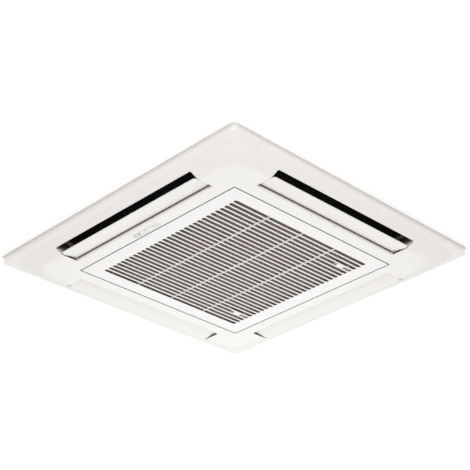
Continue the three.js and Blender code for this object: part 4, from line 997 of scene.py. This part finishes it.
@dataclass
class Grille:
    """The hinged intake grille: a face of long slots, recessed cross ribs, a skirt and its fittings."""

    half: float = 311.3
    corner: float = 2.0
    thick: float = 1.2
    rows: int = 31
    pitch: float = 17.5
    slot_width: float = 12.6
    slot_half_length: float = 263.8
    edge_round: float = 0.25
    skirt_top: float = -37.5
    skirt_wall: float = 2.0
    skirt_play: float = 0.05
    skirt_sunk: float = 0.9
    latch_head: float = 6.2
    rib_at: tuple[float, ...] = (-131.5, 0.0, 131.5)
    rib_thick: float = 2.3
    rib_recess: float = 1.1
    rib_top: float = -42.7
    seat_half: float = 282.0
    seat_wall: float = 2.0
    seat_sunk: float = 0.5
    hinge: tuple[float, float] = (-300.0, -43.0)
    hinge_y: tuple[float, float] = (-200.0, 200.0)
    hinge_gap: float = 4.0
    hinge_pin: float = 1.75
    latch_rows: tuple[int, int] = (3, 27)
    latch_gap: float = 7.4
    guides_x: tuple[float, float] = (242.0, 284.25)
    guide_half: float = 5.0
    guide_wall: float = 2.0
    guide_hook: float = 2.0
    guide_sunk: float = 0.2
    hook_thick: float = 1.5
    # the near-black ring that paints the seam's shade, as steps out from the grille's edge
    seam_shade: tuple[float, float] = (0.12, -0.4)
    soft_edge: float = 0.3
    smooth: float = 50.0

    @property
    def row_y(self) -> np.ndarray:
        """The middle of each row of slots."""
        return (np.arange(self.rows) - (self.rows - 1) / 2) * self.pitch

    @property
    def latch_y(self) -> np.ndarray:
        """The middle of each latch."""
        return self.row_y[list(self.latch_rows)]

    @property
    def levels(self) -> tuple[float, float]:
        """The heights of the face's lower and upper side."""
        return -FIELD_DEPTH, -FIELD_DEPTH + self.thick

    def stations(self) -> np.ndarray:
        """Places along a slot, crowded where its ends are round.

        Returns:
            The places, from one end to the other.
        """
        end, r = self.slot_half_length, self.slot_width / 2
        near = end - r + r * np.cos(np.radians([0.0, 12.0, 27.0, 45.0, 63.0, 79.0, 90.0]))
        return np.concatenate([-near, np.linspace(-end + r, end - r, 7)[1:-1], near[::-1]])

    def slot_reach(self, x: np.ndarray) -> np.ndarray:
        """Half the height of a slot at each x, whose ends are half circles: sqrt(r^2 - into^2).

        Args:
            x: the stations.

        Returns:
            The half heights.
        """
        r = self.slot_width / 2
        into = np.clip(np.abs(x) - (self.slot_half_length - r), 0.0, r)
        return np.sqrt(np.maximum(r**2 - into**2, 0.0))

    def slot_edge(self, x: np.ndarray, y: np.ndarray, inwards: float) -> np.ndarray:
        """The rounding of one edge of a slot, from the face up to the side.

        Args:
            x: the stations.
            y: the edge at each station.
            inwards: the sign of the way from the slot into the bar.

        Returns:
            Rows of points across the edge.
        """
        bottom = self.levels[0]
        round_ = np.minimum(self.edge_round, 0.5 * self.slot_reach(x))
        face, side = spread(x, y + inwards * round_, bottom), spread(x, y, bottom + round_)
        return bent(face, spread(x, y, bottom), side, 3)

    def bar(self, low: np.ndarray, high: np.ndarray, x: np.ndarray) -> Surface:
        """A bar between two slots, with its lower edges rounded.

        Args:
            low: the bar's low y at each station.
            high: its high y.
            x: the stations.

        Returns:
            The bar's faces, open at both ends.
        """
        top = self.levels[1]
        rows = np.concatenate([
            self.slot_edge(x, low, 1.0)[::-1], self.slot_edge(x, high, -1.0),
            [spread(x, high, top), spread(x, low, top)],
        ])
        return grid(np.concatenate([rows, rows[:1]]))

    def margin(self, sign: float, x: np.ndarray) -> Surface:
        """The strip between the last slot and the edge of the slotted field.

        Args:
            sign: the side that it is on.
            x: the stations.

        Returns:
            The strip's faces, open at both ends.
        """
        bottom, top = self.levels
        row = self.row_y[-1] * sign
        near, border = row + sign * self.slot_reach(x), row + sign * self.pitch / 2
        far, ends = spread(x, border, bottom), [spread(x, near, top), spread(x, border, top)]
        return grid(np.concatenate([[far], self.slot_edge(x, near, sign), ends]))

    def surround(self, x: np.ndarray) -> Surface:
        """The plain frame round the slots: the face out to a rounded edge, and back above.

        The loop of the slotted field's border is carried to the square of the outer edge, side by side.

        Args:
            x: the stations along a slot.

        Returns:
            The closed frame.
        """
        end_x, end_y = self.slot_half_length, self.rows * self.pitch / 2
        straight, diagonal = self.half - self.corner, math.sqrt(0.5)
        parts = []
        for k, (length, across) in enumerate((([-end_y, *self.row_y, end_y], end_x), (x, end_y)) * 2):
            length = np.array(length)
            outer = spread(self.half, np.clip(length / np.abs(length[1]) * straight, -straight, straight))
            away = np.tile([1.0, 0.0], (len(length), 1))
            outer[0] = [straight + self.corner * diagonal, -straight - self.corner * diagonal]
            away[0] = [diagonal, -diagonal]
            parts.append([quarters(part[:-1], k) for part in (spread(across, length), outer, away)])
        inner, outer, away = (np.vstack(loops) for loops in zip(*parts))
        bottom, top = self.levels
        r = self.edge_round
        bend = bent(lifted(outer - r * away, bottom), lifted(outer, bottom), lifted(outer, bottom + r), 4)
        rows = np.concatenate([[lifted(inner, bottom)], bend, [lifted(outer, top), lifted(inner, top)]])
        return grid(rows[::-1], closed=True)

    def fittings(self) -> Surface:
        """Ribs, skirt, seat of the filter, hinge posts with their pins, and the guides of the latches.

        Returns:
            All of them as one surface.
        """
        bottom, face = self.levels
        span, reach = self.seat_half + 1.0, self.rib_thick / 2
        rib_z = [bottom + self.rib_recess, self.rib_top]
        ribs = [box([x - reach, x + reach], [-span, span], rib_z) for x in self.rib_at]
        return join(*ribs, *self.skirt(), *self.seat(), *self.hinges(), *self.guides())

    def hinges(self) -> list[Surface]:
        """The hinges on one side of the grille.

        Returns:
            Two posts with a pin across them, for each hinge.
        """
        (x, z), low = self.hinge, self.levels[0] + 1.0
        post = np.array([[x - 6, low], [x + 6, low], [x + 2.5, z + 2.5], [x - 2.5, z + 2.5]])
        pin = circle(self.hinge_pin, self.hinge, 16)
        single = join(along_y(post, [4, 6]), along_y(post, [-6, -4]), along_y(pin, [-5, 5]))
        return [single.moved(y=y) for y in self.hinge_y]

    def guides(self) -> list[Surface]:
        """The hooked guides that the latches slide in.

        Returns:
            A wall and a hook on either side of each latch, twice.
        """
        gap, reach, top = self.latch_gap, self.guide_half, self.rib_top
        wall = (gap, [self.levels[1] - self.guide_sunk, top])
        hook = (gap - self.guide_hook, [top - self.hook_thick, top])
        single = join(*(
            box([x - reach, x + reach], mirrored(sign, near, gap + self.guide_wall), z)
            for x in self.guides_x for sign in SIGNS for near, z in (wall, hook)
        ))
        return [single.moved(y=y) for y in self.latch_y]

    def latch_gaps(self) -> list[tuple[float, float]]:
        """The gaps that the latches pass through, along y."""
        return [(y - self.latch_gap, y + self.latch_gap) for y in self.latch_y]

    def skirt(self) -> list[Surface]:
        """The wall round the back of the grille, with a gap at each hinge hook and each latch.

        Returns:
            The walls on two whole sides, those between the gaps and those above the latches.
        """
        outer, inner = self.half - self.skirt_play, self.half - self.skirt_wall
        bottom, length = self.levels[0], inner - 0.2
        z, head = [bottom + self.skirt_sunk, self.skirt_top], [bottom + self.latch_head, self.skirt_top]
        walls = [box([-length, length], mirrored(sign, inner, outer), z) for sign in SIGNS]
        hooks = [(y - self.hinge_gap, y + self.hinge_gap) for y in self.hinge_y]
        for sign, gaps in ((-1.0, hooks), (1.0, self.latch_gaps())):
            edges = [-length, *np.ravel(gaps), length]
            walls += [box(mirrored(sign, inner, outer), ends, z) for ends in zip(edges[::2], edges[1::2])]
        return walls + [box([inner, outer], gap, head) for gap in self.latch_gaps()]

    def seat(self) -> list[Surface]:
        """The low wall that the filter lies in.

        Returns:
            The walls on three whole sides and those between the latches.
        """
        inner, outer = self.seat_half, self.seat_half + self.seat_wall
        z = [self.levels[1] - self.seat_sunk, self.rib_top]
        edges = [-inner, *np.ravel(self.latch_gaps()), inner]
        walls = [box([-outer, outer], mirrored(sign, inner, outer), z) for sign in SIGNS]
        walls.append(box([-outer, -inner], [-inner, inner], z))
        return walls + [box([inner, outer], ends, z) for ends in zip(edges[::2], edges[1::2])]

    def build(self) -> None:
        """Makes the slotted face, the fittings behind it and the grille's half of the seam's painted-shade
        ring.
        """
        x = self.stations()
        reach = self.slot_reach(x)
        bars = [self.bar(a + reach, b - reach, x) for a, b in zip(self.row_y[:-1], self.row_y[1:])]
        face = join(*bars, self.margin(1.0, x), self.margin(-1.0, x), self.surround(x))
        piece("grille_face", face, "grille", GRILLE, ["intake_grille"], smooth=self.smooth)
        add_bevel(piece("grille_fittings", self.fittings(), "grille", GRILLE), self.soft_edge, 1)
        outer, inner = (self.half + step for step in self.seam_shade)
        # a near-black ring on the grille's edge: painted shade in the seam
        piece("grille_seam_shade", square_ring(outer, inner, SEAM_SHADE_HEIGHTS, self.corner), "grille", SEAM_SHADE)


@dataclass
class Latch:
    """The two sliding latches: a knob that stands in a slot, on a tongue above the grille's face.

    The heights are the knob's lower end and the two sides of the tongue.
    """

    rows: tuple[float, float] = (-210.0, 210.0)
    knob: tuple[float, float] = (204.0, 230.0)
    knob_half: float = 5.3
    knob_corner: float = 2.5
    tongue: tuple[float, float] = (193.1, 311.2)
    tongue_half: float = 6.95
    tongue_corner: float = 2.0
    heights: tuple[float, float, float] = (-49.45, -46.6, -44.6)
    knob_sunk: float = 0.5
    soft_knob: float = 0.5
    soft_tongue: float = 0.4

    def plate(self, x: Sequence[float], half: float, z: Sequence[float], radius: float) -> Surface:
        """A flat plate with round corners.

        Args:
            x: its two ends.
            half: half of its width.
            z: its two heights.
            radius: radius of its corners.

        Returns:
            The closed plate.
        """
        middle, reach = (x[0] + x[1]) / 2, (x[1] - x[0]) / 2
        outline = round_square(half, radius)
        outline[:, 0] += np.sign(outline[:, 0]) * (reach - half)
        return prism(outline + [middle, 0.0], z)

    def build(self) -> None:
        """Makes the knob and the tongue of each latch."""
        bottom, low, high = self.heights
        tongue = self.plate(self.tongue, self.tongue_half, [low, high], self.tongue_corner)
        knob = self.plate(self.knob, self.knob_half, [bottom, low + self.knob_sunk], self.knob_corner)
        for letter, y in zip("np", self.rows):
            body, node = f"latch_{letter}", f"latch_slide_{letter}"
            add_bevel(piece(f"latch_knob_{letter}", knob.moved(y=y), body, GRILLE, [node]), self.soft_knob)
            # the tongue's darker colour is painted shade
            add_bevel(piece(f"latch_tongue_{letter}", tongue.moved(y=y), body, SHADED_TONGUE), self.soft_tongue, 1)


@dataclass
class Filter:
    """The filter that lies in the grille: a frame with cross bars, a woven net and a hem whose pale colour is
    painted light.
    """

    half: float = 272.6
    bottom: float = -42.35
    pitch: float = 1.8
    thread: float = 0.8
    layer: float = 0.25
    hem: tuple[float, float] = (279.0, 261.6)
    hem_corner: float = 5.0
    hem_z: tuple[float, float] = (-0.15, 0.2)
    soft_edge: float = 0.4

    def net(self) -> Surface:
        """Two layers of straight threads that cross.

        Returns:
            The threads, each a closed bar.
        """
        count = int(2 * self.half / self.pitch)
        at = (np.arange(count) - (count - 1) / 2) * self.pitch
        unit = box([0.0, 1.0], [0.0, 1.0], [0.0, 1.0])
        starts = spread(-self.half, at - self.thread / 2, self.bottom)
        points = starts[:, None] + unit.points * [2 * self.half, self.thread, self.layer]
        shift = (np.arange(count) * len(unit.points))[:, None, None]
        faces = [(face[None] + shift).reshape(-1, face.shape[1]) for face in unit.faces]
        along = Surface(points.reshape(-1, 3), faces)
        return join(along, along.turned(90.0).moved(z=self.layer))

    def build(self, cad: dict[str, bpy.types.Object]) -> None:
        """Makes the net, its hem, and the frame from its CAD solid.

        Args:
            cad: the CAD objects by node.
        """
        hem = square_ring(*self.hem, [self.bottom + step for step in self.hem_z], self.hem_corner)
        piece("net_threads", self.net(), "filter", NET, ["filter_net"])
        # the hem's pale colour paints light onto the shaded border of the net
        piece("filter_hem", hem, "filter", LIT_HEM)
        softened_copy("filter_frame", cad["filter_frame"], "filter", FILTER, self.soft_edge)


# ---------------------------------------------------------------- works


@dataclass
class Works:
    """The bell mouth, the fan and its motor, as smooth turned shapes."""

    fan_r: float = 240.0
    eye_r: float = 194.0
    fan_bottom: float = 40.0
    fan_top: float = 170.0
    hub_z: float = 128.0
    hub_bore: float = 6.4
    blade_start: float = 150.0
    blades: int = 7
    motor_r: float = 70.0
    motor_height: float = 52.0
    plate_half: float = 287.1
    bell_bottom: float = 3.2
    sheet: float = 2.2
    smooth: float = 35.0

    def bell(self) -> Surface:
        """A square plate that turns up into a round throat.

        In section it is a quarter of an ellipse from the plate to the throat, and it is turned round the
        axis; outside it, each ray runs on to the edge of the square.

        Returns:
            The closed plate and throat.
        """
        throat, mouth, top = self.eye_r - 6.0, self.fan_r - 8.0, self.fan_bottom + 8.0
        low, high = self.bell_bottom, self.bell_bottom + self.sheet
        a = np.linspace(0.0, math.pi / 2, 13)
        rise = (self.fan_bottom - 6.0) * (1 - np.cos(a))
        inner = spread(mouth - (mouth - throat) * np.sin(a), low + rise)
        outer = spread(mouth - (mouth - throat - self.sheet) * np.sin(a), high + rise)
        loop = np.vstack([inner, [[throat, top], [throat + self.sheet, top]], outer[::-1]])
        rays = polar(1.0, full_turn(144))
        square = rays * (self.plate_half / np.abs(rays).max(axis=1))[:, None]
        turned = lifted(loop[:, None, :1] * rays, loop[:, 1:])
        edge = [lifted(square, z) for z in (high, low)]
        return grid(np.concatenate([turned, edge, turned[:1]]), closed=True)

    def blade(self, turn: float) -> Surface:
        """One backward-curved blade.

        At share u of the way out it lies at the angle turn - 0.75 u + 0.12 u^2, with the thickness
        1.6 + 4.2 sin(pi (0.15 + 0.75 u)) on either side, and its foot follows the shroud.

        Args:
            turn: the angle at which it starts.

        Returns:
            The closed blade.
        """
        u = np.linspace(0.0, 1.0, 15)
        start, eye, low, top = self.blade_start, self.eye_r, self.fan_bottom, self.fan_top
        radius = start + (self.fan_r - 4.5 - start) * u
        angle = turn - 0.75 * u + 0.12 * u**2
        thick = (1.6 + 4.2 * np.sin(np.pi * np.minimum(1.0, 0.15 + 0.75 * u))) / radius
        plan = np.vstack([polar(radius, angle + thick), polar(radius, angle - thick)[::-1]])
        away = np.hypot(plan[:, 0], plan[:, 1])
        shroud = [low + 22.0, low + 16.0, low + 16.2, low + 28.8, low + 41.8]
        foot = np.interp(away, [start, eye - 8, eye + 2, eye + 14, self.fan_r], shroud)
        head = np.interp(away, [start - 40, self.motor_r + 66], [top - 30, top - 1.5])
        return tube(np.stack([lifted(plan, foot), lifted(plan, head)]))

    def impeller(self) -> Surface:
        """Hub dish and blades.

        Returns:
            All of them as one surface.
        """
        dish, top, hub, bore = self.motor_r + 8.0, self.fan_top, self.hub_z, self.hub_bore
        low = softened([
            [bore, hub], [dish, hub], [dish + 30, top - 7], [dish + 60, top - 3], [self.fan_r, top - 3],
        ], [14.0, 14.0, 10.0], 6)
        high = softened([
            [self.fan_r, top], [dish + 58, top], [dish + 26, top - 4],
            [dish - 3, hub + 3.5], [bore, hub + 3.5],
        ], [10.0, 14.0, 14.0], 6)
        blades = [self.blade(2 * math.pi * k / self.blades) for k in range(self.blades)]
        return join(revolve(np.vstack([low, high])), *blades)

    def shroud(self) -> Surface:
        """The inlet ring that joins the blades below.

        Returns:
            The closed ring.
        """
        eye, low, rim = self.eye_r, self.fan_bottom, self.fan_r
        under = [[eye, low], [eye + 2, low + 12], [eye + 14, low + 25], [rim, low + 38]]
        over = [[rim, low + 41], [eye + 12, low + 28], [eye - 0.5, low + 15], [eye - 2.5, low]]
        return revolve(np.vstack([softened(under, [5.0, 7.0], 5), softened(over, [7.0, 5.0], 5)]))

    def motor(self) -> Surface:
        """The fan motor: two pressed shells with a seam, and the shaft.

        Returns:
            The closed body.
        """
        hub, r, seam, top = self.hub_z, self.motor_r, self.fan_top + 10.0, self.fan_top + self.motor_height
        profile = softened([
            [0.01, hub - 14], [6, hub - 14], [6, hub + 12], [18, hub + 14], [r - 8, hub + 18], [r, hub + 26],
            [r, seam], [r + 10, seam], [r + 10, seam + 6], [r, seam + 6], [r, top - 8], [r - 8, top],
            [0.01, top],
        ], [0.6, 1.5, 2.0, 3.0, 4.0, 1.5, 1.2, 1.2, 1.5, 4.0, 4.0], 3)
        return revolve(profile, 72)

    def build(self) -> None:
        """Makes the bell mouth, the impeller with its inlet ring, and the motor."""
        for name, surface, body, finish, node in (
            ("bell_ring", self.bell(), "cassette", DARK_PLASTIC, "bell_mouth"),
            ("impeller", self.impeller(), "fan", WHITE_PLASTIC, "fan_impeller"),
            ("inlet_ring", self.shroud(), "fan", WHITE_PLASTIC, "fan_shroud"),
            ("motor_shells", self.motor(), "cassette", STEEL, "fan_motor"),
        ):
            piece(name, surface, body, finish, [node], smooth=self.smooth)


# ---------------------------------------------------------------- receiver


@dataclass
class Receiver:
    """The pale window in the band of the panel, with a button, a row of lamps and a small eye.

    A mark is (y, length, width) of a lens with round ends. A level is the share of that outline that a lens
    has at a height above the window's face.
    """

    x: tuple[float, float] = (-336.0, -321.0)
    y: tuple[float, float] = (-28.0, 62.0)
    face: float = -49.47
    back: float = -46.7
    along: float = -330.0
    dark: tuple[tuple[float, float, float], ...] = ((40.0, 11.5, 5.0), (13.0, 5.6, 4.6))
    pale: tuple[tuple[float, float, float], ...] = (
        (22.0, 4.6, 3.8), (3.0, 4.6, 3.8), (-7.0, 4.6, 3.8), (-19.0, 12.0, 4.6), (56.0, 6.4, 6.4),
    )
    levels: tuple[tuple[float, float], ...] = ((0.90, -0.02), (1.0, 0.06), (1.0, 0.6))
    soft_edge: float = 0.15
    smooth: float = 30.0

    def lens(self, y: float, length: float, width: float) -> Surface:
        """One low lens with round ends, standing a little out of the window.

        Args:
            y: its middle.
            length: its length along y.
            width: its width.

        Returns:
            The closed lens.
        """
        a = full_turn(32)
        plan = polar(width / 2, a)
        plan[:, 1] += np.sign(np.sin(a)) * (length - width) / 2
        sizes = np.array(self.levels)
        return tube(lifted(plan * sizes[:, :1, None] + [self.along, y], self.face + sizes[:, 1:]))

    def build(self) -> None:
        """Makes the window and its marks."""
        window = box(self.x, self.y, [self.face, self.back])
        add_bevel(piece("receiver_window", window, "cassette", LENS, ["receiver_lens"]), self.soft_edge, 1)
        for name, marks, finish in (("dark", self.dark, LAMP_DARK), ("pale", self.pale, LAMP_PALE)):
            lenses = join(*(self.lens(*mark) for mark in marks))
            piece(f"receiver_{name}_lamps", lenses, "cassette", finish, smooth=self.smooth)


# ---------------------------------------------------------------- stage


@dataclass
class Stage:
    """The ceiling, the lamps, the world and the camera at the photograph's angle.

    Lengths are in metres, angles in degrees and powers in watts. A lamp is its name, place, side, power
    and colour: a cool one past the far corner, a low one behind the camera and one above the cabinet. The
    camera's yaw runs from +Y towards +X and its pitch upwards.
    """

    half: float = 3.5
    hole_half: float = 0.467
    ceiling_z: float = 0.00005
    paint: float = 0.86
    glow: float = 0.28
    sky: float = 0.78
    lamps: tuple[tuple[str, tuple[float, ...], float, float, tuple[float, ...]], ...] = (
        ("far", (1.9, 1.9, -1.8), 2.0, 24.0, (0.94, 0.98, 1.0)),
        ("front", (-2.8, -2.9, -0.45), 2.0, 58.0, (1.0, 0.99, 0.97)),
        ("above", (-0.8, -1.2, 3.0), 2.4, 16.0, (1.0, 1.0, 1.0)),
    )
    camera_at: tuple[float, float, float] = (-2.42551, -2.38417, -1.85746)
    yaw: float = 45.529
    pitch: float = 29.381
    roll: float = -1.365
    lens: float = 102.77
    sensor: float = 36.0
    clip: tuple[float, float] = (0.05, 50.0)

    def ceiling(self) -> None:
        """A square of ceiling with the cut-out for the cabinet, seen from below only."""
        corners = np.array([[1.0, 1.0], [-1.0, 1.0], [-1.0, -1.0], [1.0, -1.0]])
        rings = np.stack([lifted(corners * half, self.ceiling_z) for half in (self.half, self.hole_half)])
        mesh = make_mesh("ceiling", grid(rings / MM, closed=True), closed=False)
        thing = bpy.data.objects.new("ceiling", mesh)
        bpy.context.scene.collection.objects.link(thing)
        mesh.materials.append(self.ceiling_material())

    def ceiling_material(self) -> bpy.types.Material:
        """White paint that the camera sees a little brighter, and nothing from above.

        Returns:
            The material.
        """
        made = bpy.data.materials.new("ceiling_paint")
        made.use_nodes = True
        tree = made.node_tree
        tree.nodes.remove(tree.nodes["Principled BSDF"])
        paint, glow, both, clear, mix = new_nodes(
            tree, "BsdfDiffuse", "Emission", "AddShader", "BsdfTransparent", "MixShader",
        )
        path, strength, geometry = new_nodes(tree, "LightPath", "Math", "NewGeometry")
        strength.operation = "MULTIPLY"
        preset(paint, {"Color": (self.paint, self.paint, self.paint, 1.0)})
        preset(glow, {"Color": (1.0, 1.0, 1.0, 1.0)})
        preset(strength, {1: self.glow})
        wire(
            tree, (path, "Is Camera Ray", strength, 0), (strength, "Value", glow, "Strength"),
            (paint, "BSDF", both, 0), (glow, "Emission", both, 1), (geometry, "Backfacing", mix, "Fac"),
            (both, "Shader", mix, 1), (clear, "BSDF", mix, 2),
            (mix, "Shader", tree.nodes["Material Output"], "Surface"),
        )
        return made

    def world(self) -> None:
        """A soft even sky that the camera, gloss and glass see as white."""
        world = bpy.data.worlds.new("studio")
        bpy.context.scene.world = world
        world.use_nodes = True
        tree = world.node_tree
        plain = tree.nodes["Background"]
        white, path, either, every, mix = new_nodes(
            tree, "Background", "LightPath", "Math", "Math", "MixShader",
        )
        for node, strength in ((plain, self.sky), (white, 1.0)):
            preset(node, {"Color": (1.0, 1.0, 1.0, 1.0), "Strength": strength})
        either.operation = every.operation = "MAXIMUM"
        wire(
            tree, (path, "Is Camera Ray", either, 0), (path, "Is Glossy Ray", either, 1),
            (either, "Value", every, 0), (path, "Is Transmission Ray", every, 1),
            (every, "Value", mix, "Fac"), (plain, "Background", mix, 1), (white, "Background", mix, 2),
            (mix, "Shader", tree.nodes["World Output"], "Surface"),
        )

    def light(self) -> None:
        """Square area lamps that look at the middle of the panel."""
        for name, at, size, power, colour in self.lamps:
            data = bpy.data.lights.new(name, "AREA")
            data.shape, data.size, data.energy, data.color = "SQUARE", size, power, colour
            thing = bpy.data.objects.new(name, data)
            thing.location = at
            thing.rotation_euler = (-Vector(at)).to_track_quat("-Z", "Y").to_euler()
            bpy.context.scene.collection.objects.link(thing)

    def camera(self) -> None:
        """The camera, turned by yaw, pitch and roll to the fitted view of the photograph."""
        yaw, pitch, roll = (math.radians(v) for v in (self.yaw, self.pitch, self.roll))
        ahead = Vector((math.sin(yaw) * math.cos(pitch), math.cos(yaw) * math.cos(pitch), math.sin(pitch)))
        level = Vector((math.cos(yaw), -math.sin(yaw), 0.0))
        over = level.cross(ahead)
        right = math.cos(roll) * level + math.sin(roll) * over
        up = math.cos(roll) * over - math.sin(roll) * level
        data = bpy.data.cameras.new("camera")
        data.lens, data.sensor_width, data.sensor_fit = self.lens, self.sensor, "HORIZONTAL"
        data.clip_start, data.clip_end = self.clip
        thing = bpy.data.objects.new("camera", data)
        turn = Matrix((right, up, -ahead)).transposed().to_4x4()
        thing.matrix_world = Matrix.Translation(Vector(self.camera_at)) @ turn
        bpy.context.scene.collection.objects.link(thing)
        bpy.context.scene.camera = thing

    def build(self) -> None:
        """Sets the stage."""
        bpy.context.scene.view_settings.view_transform = "Standard"
        self.world()
        self.light()
        self.ceiling()
        self.camera()


# ---------------------------------------------------------------- the whole


# width of the softened edges of each CAD node that gets a copy, in millimetres
SOFT_WIDTHS = {
    **{f"{stem}_{side}": 0.5 for stem in ("cabinet_side", "vane_motor") for side in SIDES},
    **{
        f"{stem}_{corner}": width
        for stem, width in (("cabinet_corner", 0.5), ("hanger", 0.6), ("panel_screw", 0.3))
        for corner in CORNERS
    },
    **dict.fromkeys((
        "grille_frame", "cabinet_top", "drain_pan", "fan_nut", "motor_bracket", "gas_pipe", "liquid_pipe",
        "pipe_cover", "drain_pump", "drain_float", "drain_spigot", "control_box", "control_lid",
        "terminal_block", "fresh_air_plug", "receiver_board",
    ), 0.5),
}


@dataclass
class Carried:
    """The CAD nodes that no new piece stands for: softened copies of some, and the solids of the rest.

    Args:
        cad: the CAD objects by node.
        record: the part's record.
    """

    cad: dict[str, bpy.types.Object]
    record: dict

    def build(self) -> None:
        """Dresses every CAD node that no piece has replaced."""
        bodies = {node: body for body, nodes in self.record["behaviour"]["bodies"].items() for node in nodes}
        slots = {part["node"]: part["material_slot"] for part in self.record["subparts"]}
        for node, thing in self.cad.items():
            if thing.hide_render:
                continue
            # outlet ducts take the lighter copy of the dark foam, which paints light into their shade
            finish = LIT_DUCT_FOAM if node.startswith("outlet_duct") else FINISHES[slots[node]]
            if node in SOFT_WIDTHS:
                softened_copy(node, thing, bodies[node], finish, SOFT_WIDTHS[node])
            else:
                thing.data.materials.clear()
                thing.data.materials.append(finish.material())
                log.info("%s keeps its CAD solid", node)


def clear_scene() -> None:
    """Removes the objects that Blender starts with."""
    for thing in list(bpy.data.objects):
        bpy.data.objects.remove(thing)


def main() -> None:
    """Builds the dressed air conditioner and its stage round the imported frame."""
    logging.basicConfig(level=logging.INFO, format="%(name)s: %(message)s")
    clear_scene()
    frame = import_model()
    cad = frame["nodes"]
    Fascia().build()
    Vane().build()
    Grille().build()
    Latch().build()
    Filter().build(cad)
    Works().build()
    Receiver().build()
    Carried(cad, frame["record"]).build()
    Stage().build()


if __name__ == "__main__":
    main()
